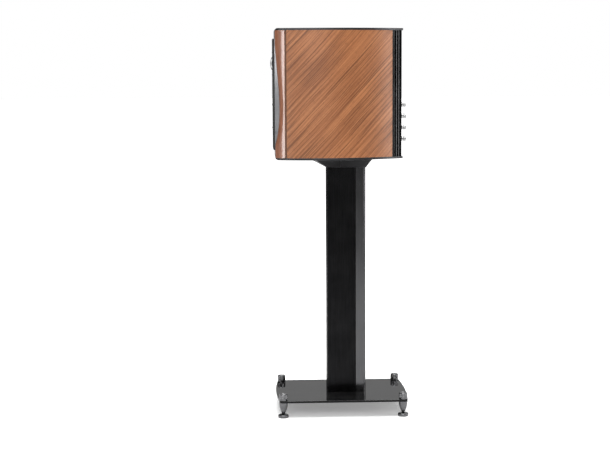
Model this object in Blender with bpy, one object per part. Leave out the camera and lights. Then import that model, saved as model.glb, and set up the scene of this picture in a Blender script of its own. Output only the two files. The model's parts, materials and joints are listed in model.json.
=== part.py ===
"""Two-way bookshelf speaker on its own stand. Metres, +Z up, front towards -Y, floor at Z = 0."""

import math

import bmesh
import bpy
from mathutils import Matrix

MM = 0.001

# ---------------------------------------------------------------- clearances
GAP = 0.3 * MM
RUNNING = 0.3 * MM

# ---------------------------------------------------------------- cabinet
CABINET_HEIGHT = 354 * MM
CABINET_BOTTOM = 700 * MM
CABINET_FRONT = -175.5 * MM
CABINET_DEPTH = 346.6 * MM
WIDEST_HALF_WIDTH = 103 * MM
WIDEST_Y = -50 * MM
SIDE_TAPER = 69.6 * MM
PANEL_THICKNESS = 16 * MM
PLATE_THICKNESS = 5.7 * MM
PLATE_REAR_OVERHANG = 3.8 * MM
PLATE_NOSE_CHAMFER = 4.8 * MM

CHEEK_DEPTH = 26.2 * MM
CHEEK_ROUNDING_DEPTH = 10 * MM
CHEEK_ROUNDING_WIDTH = 6.5 * MM
GROOVE_WIDTH = 4.3 * MM
GROOVE_DEPTH = 5.5 * MM
SUB_BAFFLE_THICKNESS = 18 * MM

# ---------------------------------------------------------------- baffle
BAFFLE_SIDE_MARGIN = 30.6 * MM
BAFFLE_BOTTOM_MARGIN = 27.3 * MM
BAFFLE_TOP_MARGIN = 27.5 * MM
BAFFLE_PROUD = 5.1 * MM
SKIN_THICKNESS = 4.3 * MM
SCOOP_DEPTH = 11.7 * MM
SCOOP_BOTTOM_MARGIN = 14.7 * MM
SCOOP_TOP_MARGIN = 10.5 * MM

# ---------------------------------------------------------------- drive units
WOOFER_ABOVE_BAFFLE_END = 87.7 * MM
WOOFER_RADIUS = 68 * MM
WOOFER_FLANGE_SEAT = 5.5 * MM
WOOFER_EDGE_ALLOWANCE = 18.4 * MM
WOOFER_COIL_RADIUS = 16 * MM
WOOFER_MAGNET_STEP = 23 * MM
WOOFER_MAGNET_FRONT = -124 * MM
WOOFER_MAGNET_DEPTH = 29 * MM

TWEETER_BELOW_BAFFLE_END = 66.5 * MM
TWEETER_RADIUS = 50 * MM
TWEETER_FLANGE_SEAT = 12 * MM
DOME_RADIUS = 12.6 * MM
DOME_RISE = 4.6 * MM
BRIDGE_HALF_LENGTH = 17.5 * MM
BRIDGE_WIDTH = 5 * MM
BRIDGE_RISE = 5.6 * MM

# ---------------------------------------------------------------- rear
REAR_PANEL_DEPTH = 26.8 * MM
REAR_CHANNEL_DEPTH = 3.3 * MM
REAR_CHANNEL_CLEARANCE = 0.5 * MM
REAR_RIB_DEPTH = 4.5 * MM
REAR_RIB_STEPS = (2.7 * MM, 10.2 * MM, 14.6 * MM, 17.2 * MM, 22.7 * MM)
TERMINAL_HALF_WIDTH = 24 * MM
TERMINAL_MARGIN = 22 * MM
PORT_BELOW_TOP = 104 * MM
PORT_BORE = 21 * MM
PORT_WALL = 3 * MM
PORT_FLANGE = 26 * MM
PORT_LENGTH = 127.8 * MM
POST_TOP_ABOVE_BOTTOM = 146.7 * MM
POST_PITCH = 31.3 * MM
POST_COUNT = 4
POST_STUD_RADIUS = 3 * MM
POST_KNOB_RADIUS = 7 * MM
POST_KNOB_LENGTH = 12.3 * MM

# ---------------------------------------------------------------- stand
BASE_HALF_WIDTH = 131.4 * MM
BASE_FRONT = -170 * MM
BASE_REAR = 180 * MM
BASE_FRONT_BOW = 7.7 * MM
BASE_REAR_BOW = 6 * MM
BASE_UNDERSIDE = 41.4 * MM
BASE_THICKNESS = 6 * MM
BASE_CORNER = 7 * MM

COLUMN_HALF_WIDTH = 32 * MM
COLUMN_FRONT = -33.4 * MM
COLUMN_NOSE_BOW = 2.2 * MM
COLUMN_SEAM = 44.4 * MM
COLUMN_REAR = 72.6 * MM
COLUMN_WALL = 3.5 * MM
COLUMN_REAR_CORNER = 8 * MM
FLUTE_PITCH = 5.55 * MM
FLUTE_DEPTH = 1.4 * MM

BRACKET_HEIGHT = 21.3 * MM
BRACKET_SEAM = 3.2 * MM
BRACKET_TOP_HALF_WIDTH = 55 * MM
BRACKET_TOP_FRONT = -65 * MM
BRACKET_TOP_NOSE_BOW = 13 * MM
BRACKET_TOP_REAR = 86 * MM
BRACKET_TOP_REAR_BOW = 7.5 * MM
BRACKET_FOOT_MARGIN = 1.2 * MM
MAT_MARGIN = 3 * MM

FOOT_SIDE_MARGIN = 12.9 * MM
FOOT_FRONT_MARGIN = 10.4 * MM
FOOT_REAR_MARGIN = 12 * MM
SHOE_RADIUS = 14.3 * MM
SHOE_HEIGHT = 8 * MM
SPIKE_RADIUS = 11.9 * MM
SPIKE_TIP_HEIGHT = 5.2 * MM
STEM_RADIUS = 4 * MM
LOCK_KNOB_RADIUS = 11.6 * MM
LOCK_KNOB_HEIGHT = 17.4 * MM

# ---------------------------------------------------------------- derived
CABINET_TOP = CABINET_BOTTOM + CABINET_HEIGHT
CABINET_REAR = CABINET_FRONT + CABINET_DEPTH
SIDE_RADIUS = ((CABINET_REAR - WIDEST_Y) ** 2 + SIDE_TAPER**2) / (2 * SIDE_TAPER)
BAFFLE_HALF_WIDTH = WIDEST_HALF_WIDTH - BAFFLE_SIDE_MARGIN
BAFFLE_BOTTOM = CABINET_BOTTOM + BAFFLE_BOTTOM_MARGIN
BAFFLE_TOP = CABINET_TOP - BAFFLE_TOP_MARGIN
SCOOP_BOTTOM = BAFFLE_BOTTOM + SCOOP_BOTTOM_MARGIN
SCOOP_TOP = BAFFLE_TOP - SCOOP_TOP_MARGIN
WOOFER_HEIGHT = BAFFLE_BOTTOM + WOOFER_ABOVE_BAFFLE_END
WOOFER_HOLE = WOOFER_RADIUS - WOOFER_FLANGE_SEAT
WOOFER_CONE_RADIUS = WOOFER_RADIUS - WOOFER_EDGE_ALLOWANCE
WOOFER_MAGNET_RADIUS = WOOFER_RADIUS - WOOFER_MAGNET_STEP
TWEETER_HEIGHT = BAFFLE_TOP - TWEETER_BELOW_BAFFLE_END
TWEETER_HOLE = TWEETER_RADIUS - TWEETER_FLANGE_SEAT
REAR_CHANNEL_FLOOR = CABINET_REAR - REAR_CHANNEL_DEPTH
REAR_PANEL_FRONT = CABINET_REAR - REAR_PANEL_DEPTH
REAR_RIB_EDGES = [REAR_PANEL_FRONT + step for step in REAR_RIB_STEPS]
PORT_HEIGHT = CABINET_TOP - PORT_BELOW_TOP
POST_TOP = CABINET_BOTTOM + POST_TOP_ABOVE_BOTTOM
FOOT_X = BASE_HALF_WIDTH - FOOT_SIDE_MARGIN
FOOT_FRONT_Y = BASE_FRONT + FOOT_FRONT_MARGIN
FOOT_REAR_Y = BASE_REAR - FOOT_REAR_MARGIN
PANEL_BOTTOM = CABINET_BOTTOM + PLATE_THICKNESS + GAP
PANEL_TOP = CABINET_TOP - PLATE_THICKNESS - GAP
CHEEK_REAR = CABINET_FRONT + CHEEK_DEPTH
SUB_BAFFLE_FRONT = CHEEK_REAR + GAP
SUB_BAFFLE_REAR = SUB_BAFFLE_FRONT + SUB_BAFFLE_THICKNESS
SIDE_FRONT = CHEEK_REAR + GROOVE_WIDTH
SIDE_REAR = REAR_PANEL_FRONT - GAP
CHEEK_INSIDE = BAFFLE_HALF_WIDTH + GAP
SKIN_FRONT = CABINET_FRONT - BAFFLE_PROUD
SKIN_REAR = SKIN_FRONT + SKIN_THICKNESS
BODY_FRONT = SKIN_REAR + GAP
BASE_TOP = BASE_UNDERSIDE + BASE_THICKNESS
COLUMN_BOTTOM = BASE_TOP + GAP
MAT_TOP = CABINET_BOTTOM - GAP
MAT_BOTTOM = MAT_TOP - 2.1 * MM
BRACKET_TOP = MAT_BOTTOM - GAP
BRACKET_BOTTOM = BRACKET_TOP - BRACKET_HEIGHT
COLUMN_TOP = BRACKET_BOTTOM - GAP


# ---------------------------------------------------------------- materials
def material(name, colour, roughness, metallic):
    made = bpy.data.materials.new(name)
    made.use_nodes = True
    made.diffuse_color = (*colour, 1)
    shader = made.node_tree.nodes["Principled BSDF"]
    shader.inputs["Base Color"].default_value = (*colour, 1)
    shader.inputs["Roughness"].default_value = roughness
    shader.inputs["Metallic"].default_value = metallic
    return made


def make_materials():
    return {
        "veneer": material("walnut_veneer", (0.42, 0.20, 0.10), 0.35, 0),
        "solid_wood": material("solid_walnut", (0.40, 0.18, 0.09), 0.3, 0),
        "board": material("black_board", (0.02, 0.02, 0.02), 0.7, 0),
        "pale_metal": material("pale_satin_metal", (0.55, 0.55, 0.56), 0.35, 1),
        "black_skin": material("black_leather_skin", (0.012, 0.012, 0.013), 0.55, 0),
        "dark_metal": material("dark_satin_metal", (0.03, 0.03, 0.032), 0.4, 1),
        "silver": material("bright_silver_metal", (0.7, 0.7, 0.7), 0.2, 1),
        "rubber": material("black_rubber", (0.015, 0.015, 0.015), 0.65, 0),
        "cone": material("grey_cone", (0.05, 0.05, 0.05), 0.6, 0),
        "dome": material("treated_silk", (0.01, 0.01, 0.01), 0.45, 0),
        "ferrite": material("ferrite", (0.04, 0.04, 0.045), 0.5, 0),
        "copper": material("copper_wire", (0.6, 0.25, 0.12), 0.35, 1),
        "foam": material("grey_foam", (0.2, 0.2, 0.21), 0.95, 0),
        "gloss_black": material("gloss_black_plate", (0.01, 0.01, 0.011), 0.08, 0.2),
        "graphite": material("graphite_casting", (0.07, 0.07, 0.07), 0.4, 0.8),
    }


# ---------------------------------------------------------------- mesh helpers
def add_object(name, bm, look, location=(0, 0, 0), parent=None):
    """Turns a bmesh into a named object with outward faces, one material and smooth round faces."""
    bmesh.ops.recalc_face_normals(bm, faces=bm.faces)
    mesh = bpy.data.meshes.new(name)
    bm.to_mesh(mesh)
    bm.free()
    mesh.shade_smooth()
    mesh.set_sharp_from_angle(angle=math.radians(35))
    mesh.materials.append(look)
    obj = bpy.data.objects.new(name, mesh)
    bpy.context.scene.collection.objects.link(obj)
    obj.parent = parent
    obj.location = location
    return obj


def add_empty(name, location=(0, 0, 0), parent=None):
    empty = bpy.data.objects.new(name, None)
    bpy.context.scene.collection.objects.link(empty)
    empty.parent = parent
    empty.location = location
    return empty


def closed_loop(bm, points):
    verts = [bm.verts.new(point) for point in points]
    return [bm.edges.new((verts[i - 1], verts[i])) for i in range(len(verts))]


def circle_points(centre, radius, count):
    steps = [2 * math.pi * i / count for i in range(count)]
    return [(centre[0] + radius * math.cos(a), centre[1] + radius * math.sin(a)) for a in steps]


def extruded(outline, bottom, top, holes=(), along="z"):
    """A flat outline with holes in it, extruded from bottom to top along z or y."""
    bm = bmesh.new()
    edges = closed_loop(bm, [(x, y, bottom) for x, y in outline])
    for hole in holes:
        edges += closed_loop(bm, [(x, y, bottom) for x, y in hole])
    bmesh.ops.triangle_fill(bm, use_beauty=True, use_dissolve=False, edges=edges)
    lifted = bmesh.ops.extrude_face_region(bm, geom=bm.faces[:])
    verts = [item for item in lifted["geom"] if isinstance(item, bmesh.types.BMVert)]
    bmesh.ops.translate(bm, verts=verts, vec=(0, 0, top - bottom))
    if along == "y":
        turn = Matrix(((1, 0, 0), (0, 0, 1), (0, 1, 0)))
        for vert in bm.verts:
            vert.co = turn @ vert.co
    return bm


def lofted(rings):
    """Joins rings of the same point count into one closed skin with flat end caps."""
    bm = bmesh.new()
    rows = [[bm.verts.new(point) for point in ring] for ring in rings]
    for lower, upper in zip(rows, rows[1:]):
        for i in range(len(lower)):
            bm.faces.new((lower[i - 1], lower[i], upper[i], upper[i - 1]))
    bm.faces.new(rows[0])
    bm.faces.new(rows[-1])
    return bm


def turned(profile, axis, segments):
    """Turns a profile of (radius, distance along the axis) points about the z axis or the y axis.
    A profile that starts and ends at radius 0 is closed by the axis, any other by its own last edge."""
    bm = bmesh.new()
    solid = profile[0][0] == 0 and profile[-1][0] == 0
    rows = []
    for radius, along in profile:
        if radius == 0:
            rows.append([bm.verts.new((0, 0, along))] * segments)
            continue
        row = []
        for i in range(segments):
            angle = 2 * math.pi * i / segments
            row.append(bm.verts.new((radius * math.cos(angle), radius * math.sin(angle), along)))
        rows.append(row)
    pairs = list(zip(rows, rows[1:]))
    if not solid:
        pairs.append((rows[-1], rows[0]))
    for lower, upper in pairs:
        for i in range(segments):
            corners = (lower[i - 1], lower[i], upper[i], upper[i - 1])
            unique = list(dict.fromkeys(corners))
            if len(unique) > 2:
                bm.faces.new(unique)
    if axis == "y":
        turn = Matrix(((1, 0, 0), (0, 0, 1), (0, 1, 0)))
        for vert in bm.verts:
            vert.co = turn @ vert.co
    return bm


def box(x0, x1, y0, y1, z0, z1):
    return extruded([(x0, y0), (x1, y0), (x1, y1), (x0, y1)], z0, z1)


def cut(obj, cutters):
    """Cuts closed meshes out of an object with one exact Boolean and keeps only the result."""
    tool = bpy.data.meshes.new("cutter")
    together = bmesh.new()
    for shape in cutters:
        bmesh.ops.recalc_face_normals(shape, faces=shape.faces)
        shape.to_mesh(tool)
        shape.free()
        together.from_mesh(tool)
    cutter = add_object("cutter", together, obj.data.materials[0])
    modifier = obj.modifiers.new("cut", "BOOLEAN")
    modifier.operation = "DIFFERENCE"
    modifier.solver = "EXACT"
    modifier.object = cutter
    bpy.context.view_layer.update()
    evaluated = obj.evaluated_get(bpy.context.evaluated_depsgraph_get())
    result = bpy.data.meshes.new_from_object(evaluated)
    obj.modifiers.remove(modifier)
    bpy.data.objects.remove(cutter)
    obj.data = result
    result.shade_smooth()
    result.set_sharp_from_angle(angle=math.radians(35))


def spread(start, end, count):
    return [start + (end - start) * i / (count - 1) for i in range(count)]


# ---------------------------------------------------------------- plan of the cabinet
def half_width(y, inset=0.0):
    """Half the cabinet's width at depth y: one circular arc, drawn in by inset."""
    radius = SIDE_RADIUS - inset
    centre = WIDEST_HALF_WIDTH - SIDE_RADIUS
    return centre + math.sqrt(radius**2 - (y - WIDEST_Y) ** 2)


def rounded_half_width(y, front, depth, width):
    """The side arc, rounded towards its front end over a depth and a width."""
    into = y - front
    if into >= depth:
        return half_width(y)
    left = (depth - into) / depth
    return half_width(y) - width * (1 - math.sqrt(max(0.0, 1 - left**2)))


def plate_outline(front, rear):
    depth = CHEEK_ROUNDING_DEPTH
    ys = [front + depth * (1 - math.cos(a)) for a in spread(0, math.pi / 2, 6)]
    ys += spread(front + depth, rear, 16)[1:]
    right = [(rounded_half_width(y, front, depth, CHEEK_ROUNDING_WIDTH), y) for y in ys]
    return right + [(-x, y) for x, y in reversed(right)]


def make_plate(name, look, touching, outside, parent):
    """Top or bottom plate: full outline where it touches the panels, front edge chamfered outside."""
    rear = CABINET_REAR + PLATE_REAR_OVERHANG
    low = touching + (outside - touching) * 0.2
    rings = []
    for height, nose in ((touching, 0), (low, 0), (outside, PLATE_NOSE_CHAMFER)):
        rings.append([(x, y, height) for x, y in plate_outline(CABINET_FRONT + nose, rear)])
    return add_object(name, lofted(rings), look, parent=parent)


def make_side_panel(name, side, look, parent):
    ys = spread(SIDE_FRONT, SIDE_REAR, 20)
    outer = [(side * half_width(y), y) for y in ys]
    inner = [(side * half_width(y, PANEL_THICKNESS), y) for y in reversed(ys)]
    return add_object(name, extruded(outer + inner, PANEL_BOTTOM, PANEL_TOP), look, parent=parent)


def scoop_at(z):
    """How far the cheek's front edge is cut back at height z: a long arc, deepest below the middle."""
    if z <= SCOOP_BOTTOM or z >= SCOOP_TOP:
        return 0.0
    along = ((z - SCOOP_BOTTOM) / (SCOOP_TOP - SCOOP_BOTTOM)) ** 0.667
    return SCOOP_DEPTH * math.sin(math.pi * along) ** 1.3


def make_cheek(name, side, look, parent):
    heights = [PANEL_BOTTOM, SCOOP_BOTTOM - 8 * MM]
    heights += spread(SCOOP_BOTTOM, SCOOP_TOP, 19)
    heights += [SCOOP_TOP + 8 * MM, PANEL_TOP]
    rings = []
    for z in heights:
        front = CABINET_FRONT + scoop_at(z)
        ys = [front + CHEEK_ROUNDING_DEPTH * (1 - math.cos(a)) for a in spread(0, math.pi / 2, 6)]
        ys += spread(front + CHEEK_ROUNDING_DEPTH, CHEEK_REAR, 4)[1:]
        ring = [(side * CHEEK_INSIDE, CHEEK_REAR, z), (side * CHEEK_INSIDE, front, z)]
        for y in ys:
            x = rounded_half_width(y, front, CHEEK_ROUNDING_DEPTH, CHEEK_ROUNDING_WIDTH)
            ring.append((side * x, y, z))
        rings.append(ring)
    return add_object(name, lofted(rings), look, parent=parent)


def make_cabinet(looks, root):
    make_side_panel("cabinet_side_left", -1, looks["veneer"], root)
    make_side_panel("cabinet_side_right", 1, looks["veneer"], root)
    make_cheek("front_cheek_left", -1, looks["solid_wood"], root)
    make_cheek("front_cheek_right", 1, looks["solid_wood"], root)
    rail = (-BAFFLE_HALF_WIDTH, BAFFLE_HALF_WIDTH, CABINET_FRONT, CHEEK_REAR)
    top_rail = box(*rail, BAFFLE_TOP + GAP, PANEL_TOP)
    add_object("front_rail_top", top_rail, looks["solid_wood"], parent=root)
    bottom_rail = box(*rail, PANEL_BOTTOM, BAFFLE_BOTTOM - GAP)
    add_object("front_rail_bottom", bottom_rail, looks["solid_wood"], parent=root)
    make_plate("top_plate", looks["dark_metal"], CABINET_TOP - PLATE_THICKNESS, CABINET_TOP, root)
    make_plate("bottom_plate", looks["dark_metal"], CABINET_BOTTOM + PLATE_THICKNESS, CABINET_BOTTOM, root)
    make_sub_baffle(looks, root)
    make_baffle(looks, root)


def make_sub_baffle(looks, root):
    """Structural board: its front layer shows in the groove, the rest fits between the side panels."""
    wide = half_width(SIDE_FRONT) - GROOVE_DEPTH
    narrow = half_width(SIDE_FRONT, PANEL_THICKNESS) - 2 * GAP
    step = SIDE_FRONT - GAP
    right = [(wide, SUB_BAFFLE_FRONT), (wide, step), (narrow, step), (narrow, SUB_BAFFLE_REAR)]
    outline = right + [(-x, y) for x, y in reversed(right)]
    board = add_object("sub_baffle", extruded(outline, PANEL_BOTTOM, PANEL_TOP), looks["board"], parent=root)
    cutters = []
    for height, radius in ((WOOFER_HEIGHT, WOOFER_HOLE), (TWEETER_HEIGHT, TWEETER_HOLE)):
        ring = circle_points((0, height), radius, 32)
        cutters.append(extruded(ring, SUB_BAFFLE_FRONT - 5 * MM, SUB_BAFFLE_REAR + 5 * MM, along="y"))
    cut(board, cutters)


def make_baffle(looks, root):
    w = BAFFLE_HALF_WIDTH
    outline = [(-w, BAFFLE_BOTTOM), (w, BAFFLE_BOTTOM), (w, BAFFLE_TOP), (-w, BAFFLE_TOP)]
    holes = [circle_points((0, WOOFER_HEIGHT), WOOFER_HOLE, 32)]
    holes.append(circle_points((0, TWEETER_HEIGHT), TWEETER_HOLE, 24))
    body = extruded(outline, BODY_FRONT, CHEEK_REAR, holes, along="y")
    add_object("baffle_body", body, looks["pale_metal"], parent=root)
    seats = [circle_points((0, WOOFER_HEIGHT), WOOFER_RADIUS + GAP, 40)]
    seats.append(circle_points((0, TWEETER_HEIGHT), TWEETER_RADIUS + GAP, 32))
    skin = extruded(outline, SKIN_FRONT, SKIN_REAR, seats, along="y")
    add_object("baffle_skin", skin, looks["black_skin"], parent=root)


# ---------------------------------------------------------------- woofer
def make_woofer(looks, root):
    at = (0, 0, WOOFER_HEIGHT)
    flange_back = SKIN_REAR - GAP
    magnet = WOOFER_MAGNET_FRONT
    seat = magnet - GAP
    lip = WOOFER_RADIUS - 8.7 * MM
    wall = WOOFER_HOLE - 1 * MM
    basket = [
        (lip, SKIN_FRONT),
        (WOOFER_RADIUS, SKIN_FRONT),
        (WOOFER_RADIUS, flange_back),
        (wall, flange_back),
        (wall, flange_back + 16 * MM),
        (WOOFER_MAGNET_RADIUS + 1 * MM, seat - 4 * MM),
        (WOOFER_MAGNET_RADIUS + 1 * MM, seat),
        (WOOFER_COIL_RADIUS + 4 * MM, seat),
        (WOOFER_COIL_RADIUS + 4 * MM, seat - 2.7 * MM),
        (WOOFER_MAGNET_RADIUS - 3 * MM, seat - 2.7 * MM),
        (WOOFER_MAGNET_RADIUS - 3 * MM, seat - 5 * MM),
        (wall - 3.5 * MM, flange_back + 16 * MM),
        (wall - 3.5 * MM, flange_back + 2 * MM),
        (lip, flange_back + 2 * MM),
    ]
    frame = add_object("woofer_basket", turned(basket, "y", 32), looks["dark_metal"], at, root)
    windows = []
    for i in range(5):
        angle = 2 * math.pi * (i + 0.5) / 5
        window = extruded(window_outline(angle), magnet - 24 * MM, magnet - 6 * MM, along="y")
        bmesh.ops.translate(window, verts=window.verts, vec=(0, 0, WOOFER_HEIGHT))
        windows.append(window)
    cut(frame, windows)
    gap_inside = WOOFER_COIL_RADIUS - 1.6 * MM
    gap_outside = WOOFER_COIL_RADIUS + 1.4 * MM
    waist = WOOFER_MAGNET_RADIUS - 3 * MM
    motor = [
        (0, magnet),
        (gap_inside, magnet),
        (gap_inside, magnet + 20 * MM),
        (gap_outside, magnet + 20 * MM),
        (gap_outside, magnet),
        (WOOFER_MAGNET_RADIUS, magnet),
        (WOOFER_MAGNET_RADIUS, magnet + 6 * MM),
        (waist, magnet + 6 * MM),
        (waist, magnet + 22 * MM),
        (WOOFER_MAGNET_RADIUS, magnet + 22 * MM),
        (WOOFER_MAGNET_RADIUS, magnet + WOOFER_MAGNET_DEPTH),
        (0, magnet + WOOFER_MAGNET_DEPTH),
    ]
    add_object("woofer_magnet", turned(motor, "y", 32), looks["ferrite"], at, root)
    plug_radius = WOOFER_COIL_RADIUS - 2 * MM
    plug_front = SKIN_FRONT + 2.1 * MM
    plug = [(0, plug_front)]
    for share in (0.25, 0.5, 0.75, 1.0):
        radius = plug_radius * math.sqrt(1 - (1 - share) ** 2)
        plug.append((radius, plug_front + 38 * MM * share**1.3))
    plug += [(plug_radius, magnet - GAP), (0, magnet - GAP)]
    add_object("woofer_phase_plug", turned(plug, "y", 24), looks["silver"], at, root)
    make_woofer_moving(looks, at, root, lip)


def window_outline(angle):
    """A wedge between two basket legs, seen along the axis."""
    inner = WOOFER_MAGNET_RADIUS - 2 * MM
    outer = WOOFER_HOLE + 3 * MM
    half = math.radians(26)
    points = []
    corners = ((inner, -half), (outer, -half), (outer, 0), (outer, half), (inner, half), (inner, 0))
    for radius, turn in corners:
        points.append((radius * math.cos(angle + turn), radius * math.sin(angle + turn)))
    return points


def make_woofer_moving(looks, at, root, lip):
    moving = add_empty("woofer_motion", at, root)
    front = SKIN_FRONT + 3.7 * MM
    neck = WOOFER_COIL_RADIUS + 0.3 * MM
    depth = 25 * MM
    shell = 0.9 * MM
    face = []
    for share in spread(0, 1, 5):
        radius = WOOFER_CONE_RADIUS + (neck - WOOFER_CONE_RADIUS) * share
        face.append((radius, front + depth * share**0.88))
    back = [(radius, along + shell) for radius, along in reversed(face)]
    add_object("woofer_cone", turned(face + back, "y", 32), looks["cone"], parent=moving)
    coil = WOOFER_COIL_RADIUS
    former_front = front + depth - 1 * MM
    former_rear = WOOFER_MAGNET_FRONT + 12 * MM
    bore = coil - 0.7 * MM
    former = [(coil, former_front), (coil, former_rear), (bore, former_rear), (bore, former_front)]
    add_object("woofer_voice_coil", turned(former, "y", 24), looks["copper"], parent=moving)
    inner = WOOFER_CONE_RADIUS + 0.4 * MM
    outer = lip - 2 * GAP
    middle = (inner + outer) / 2
    roll = (outer - inner) / 2
    rise = 3.7 * MM
    outside = []
    inside = []
    sheet = 0.9 * MM
    for angle in spread(math.pi, 0, 7):
        lift = rise * math.sin(angle)
        outside.append((middle + roll * math.cos(angle), front - lift))
        inside.append((middle + (roll - sheet) * math.cos(angle), front + sheet - lift))
    surround = outside + list(reversed(inside))
    add_object("woofer_surround", turned(surround, "y", 32), looks["rubber"], parent=moving)
    spider_y = WOOFER_MAGNET_FRONT - 14 * MM
    near = []
    for i, radius in enumerate(spread(coil + 0.4 * MM, WOOFER_MAGNET_RADIUS - 0.5 * MM, 8)):
        near.append((radius, spider_y + (1.2 * MM if i % 2 else -1.2 * MM)))
    far = [(radius, along + 0.7 * MM) for radius, along in reversed(near)]
    add_object("woofer_spider", turned(near + far, "y", 24), looks["copper"], parent=moving)


# ---------------------------------------------------------------- tweeter
def make_tweeter(looks, root):
    at = (0, 0, TWEETER_HEIGHT)
    flange_back = SKIN_REAR - GAP
    boss = TWEETER_HOLE - 2 * MM
    throat = DOME_RADIUS + 1 * MM
    seat = DOME_RADIUS + 4.4 * MM
    ledge = SKIN_FRONT + 3.7 * MM
    boss_rear = flange_back + 10 * MM
    plate = [
        (seat, SKIN_FRONT),
        (TWEETER_RADIUS, SKIN_FRONT),
        (TWEETER_RADIUS, flange_back),
        (boss, flange_back),
        (boss, boss_rear),
        (throat, boss_rear),
        (throat, ledge),
        (seat, ledge),
    ]
    add_object("tweeter_faceplate", turned(plate, "y", 32), looks["dark_metal"], at, root)
    magnet_front = boss_rear + GAP
    magnet_rear = magnet_front + 26 * MM
    magnet = [(0, magnet_front), (boss, magnet_front), (boss, magnet_rear), (0, magnet_rear)]
    add_object("tweeter_magnet", turned(magnet, "y", 24), looks["ferrite"], at, root)
    moving = add_empty("tweeter_motion", at, root)
    edge = SKIN_FRONT + 2.2 * MM
    shell = 0.6 * MM
    outside = []
    inside = []
    for angle in spread(0, math.pi / 2, 6):
        outside.append((DOME_RADIUS * math.sin(angle), edge - DOME_RISE * math.cos(angle)))
        inside.append(((DOME_RADIUS - shell) * math.sin(angle), edge - (DOME_RISE - shell) * math.cos(angle)))
    outside[0] = (0, edge - DOME_RISE)
    inside[0] = (0, edge - DOME_RISE + shell)
    skirt = boss_rear - 1.4 * MM
    dome = outside + [(DOME_RADIUS, skirt), (DOME_RADIUS - shell, skirt)] + list(reversed(inside))
    add_object("tweeter_dome", turned(dome, "y", 24), looks["dome"], parent=moving)
    inner = DOME_RADIUS + 0.3 * MM
    outer = seat - GAP
    middle = (inner + outer) / 2
    roll = (outer - inner) / 2
    above = []
    below = []
    for angle in spread(math.pi, 0, 5):
        lift = 1.4 * MM * math.sin(angle)
        above.append((middle + roll * math.cos(angle), edge + 0.4 * MM - lift))
        below.append((middle + (roll - 0.4 * MM) * math.cos(angle), edge + 0.9 * MM - lift))
    ring = turned(above + list(reversed(below)), "y", 24)
    add_object("tweeter_surround", ring, looks["dome"], parent=moving)
    make_bridge(looks, at, root)


def make_bridge(looks, at, root):
    """A narrow arched strip over the dome, standing on the face plate above and below it."""
    foot = SKIN_FRONT - GAP
    length = BRIDGE_HALF_LENGTH
    thickness = 1.5 * MM
    outer = [(-length, foot)]
    inner = [(-length + 2.6 * MM, foot)]
    for share in spread(-1, 1, 9):
        rise = 1.5 * MM + (BRIDGE_RISE - 1.8 * MM) * math.cos(share * math.pi / 2) ** 0.8
        outer.append((length * share, foot - rise))
    for share in spread(-0.62, 0.62, 7):
        rise = 1.5 * MM + (BRIDGE_RISE - 1.8 * MM) * math.cos(share * math.pi / 2) ** 0.8
        inner.append((length * share, foot - rise + thickness))
    outer.append((length, foot))
    inner.append((length - 2.6 * MM, foot))
    outline = [(y, z) for z, y in outer] + [(y, z) for z, y in reversed(inner)]
    bm = extruded(outline, -BRIDGE_WIDTH / 2, BRIDGE_WIDTH / 2)
    turn = Matrix(((0, 0, 1), (1, 0, 0), (0, 1, 0)))
    for vert in bm.verts:
        vert.co = turn @ vert.co
    add_object("tweeter_bridge", bm, looks["silver"], at, root)


# ---------------------------------------------------------------- rear
def make_rear(looks, root):
    first, second, third, fourth, fifth = REAR_RIB_EDGES
    deep = REAR_RIB_DEPTH
    steps = [(REAR_PANEL_FRONT, first, GAP), (first, second, deep), (second, third, GAP)]
    steps += [(third, fourth, deep), (fourth, fifth, GAP), (fifth, CABINET_REAR, 5 * GAP)]
    right = []
    for start, end, inset in steps:
        right += [(half_width(start) - inset, start), (half_width(end) - inset, end)]
    channel = PORT_FLANGE + REAR_CHANNEL_CLEARANCE
    right += [(channel, CABINET_REAR), (channel, REAR_CHANNEL_FLOOR)]
    outline = right + [(-x, y) for x, y in reversed(right)]
    block = extruded(outline, PANEL_BOTTOM, PANEL_TOP)
    panel = add_object("rear_panel", block, looks["dark_metal"], parent=root)
    front = REAR_PANEL_FRONT - 5 * MM
    rear = CABINET_REAR + 5 * MM
    rings = [circle_points((0, PORT_HEIGHT), PORT_BORE + PORT_WALL + GAP, 28)]
    heights = [POST_TOP - POST_PITCH * i for i in range(POST_COUNT)]
    stud_hole = POST_STUD_RADIUS + 0.4 * MM
    rings += [circle_points((0, height), stud_hole, 12) for height in heights]
    cut(panel, [extruded(ring, front, rear, along="y") for ring in rings])
    plate_front = REAR_CHANNEL_FLOOR + GAP
    top = heights[0] + TERMINAL_MARGIN
    bottom = heights[-1] - TERMINAL_MARGIN
    w = TERMINAL_HALF_WIDTH
    corner = 4 * MM
    outline = [(-w + corner, bottom), (w - corner, bottom), (w, bottom + corner), (w, top - corner)]
    outline += [(w - corner, top), (-w + corner, top), (-w, top - corner), (-w, bottom + corner)]
    holes = [circle_points((0, height), stud_hole, 12) for height in heights]
    plate = extruded(outline, plate_front, CABINET_REAR, holes, along="y")
    add_object("terminal_plate", plate, looks["pale_metal"], parent=root)
    outside = PORT_BORE + PORT_WALL
    inner_end = CABINET_REAR - PORT_LENGTH
    tube = [
        (PORT_BORE, inner_end),
        (outside, inner_end),
        (outside, plate_front),
        (PORT_FLANGE, plate_front),
        (PORT_FLANGE, CABINET_REAR - 1 * MM),
        (PORT_FLANGE - 1 * MM, CABINET_REAR),
        (PORT_BORE + 3 * MM, CABINET_REAR),
        (PORT_BORE + 1.2 * MM, CABINET_REAR - 4 * MM),
        (PORT_BORE, CABINET_REAR - 9 * MM),
    ]
    add_object("port_tube", turned(tube, "y", 28), looks["board"], (0, 0, PORT_HEIGHT), root)
    for i, height in enumerate(heights):
        make_post(i + 1, height, looks, root)


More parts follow.
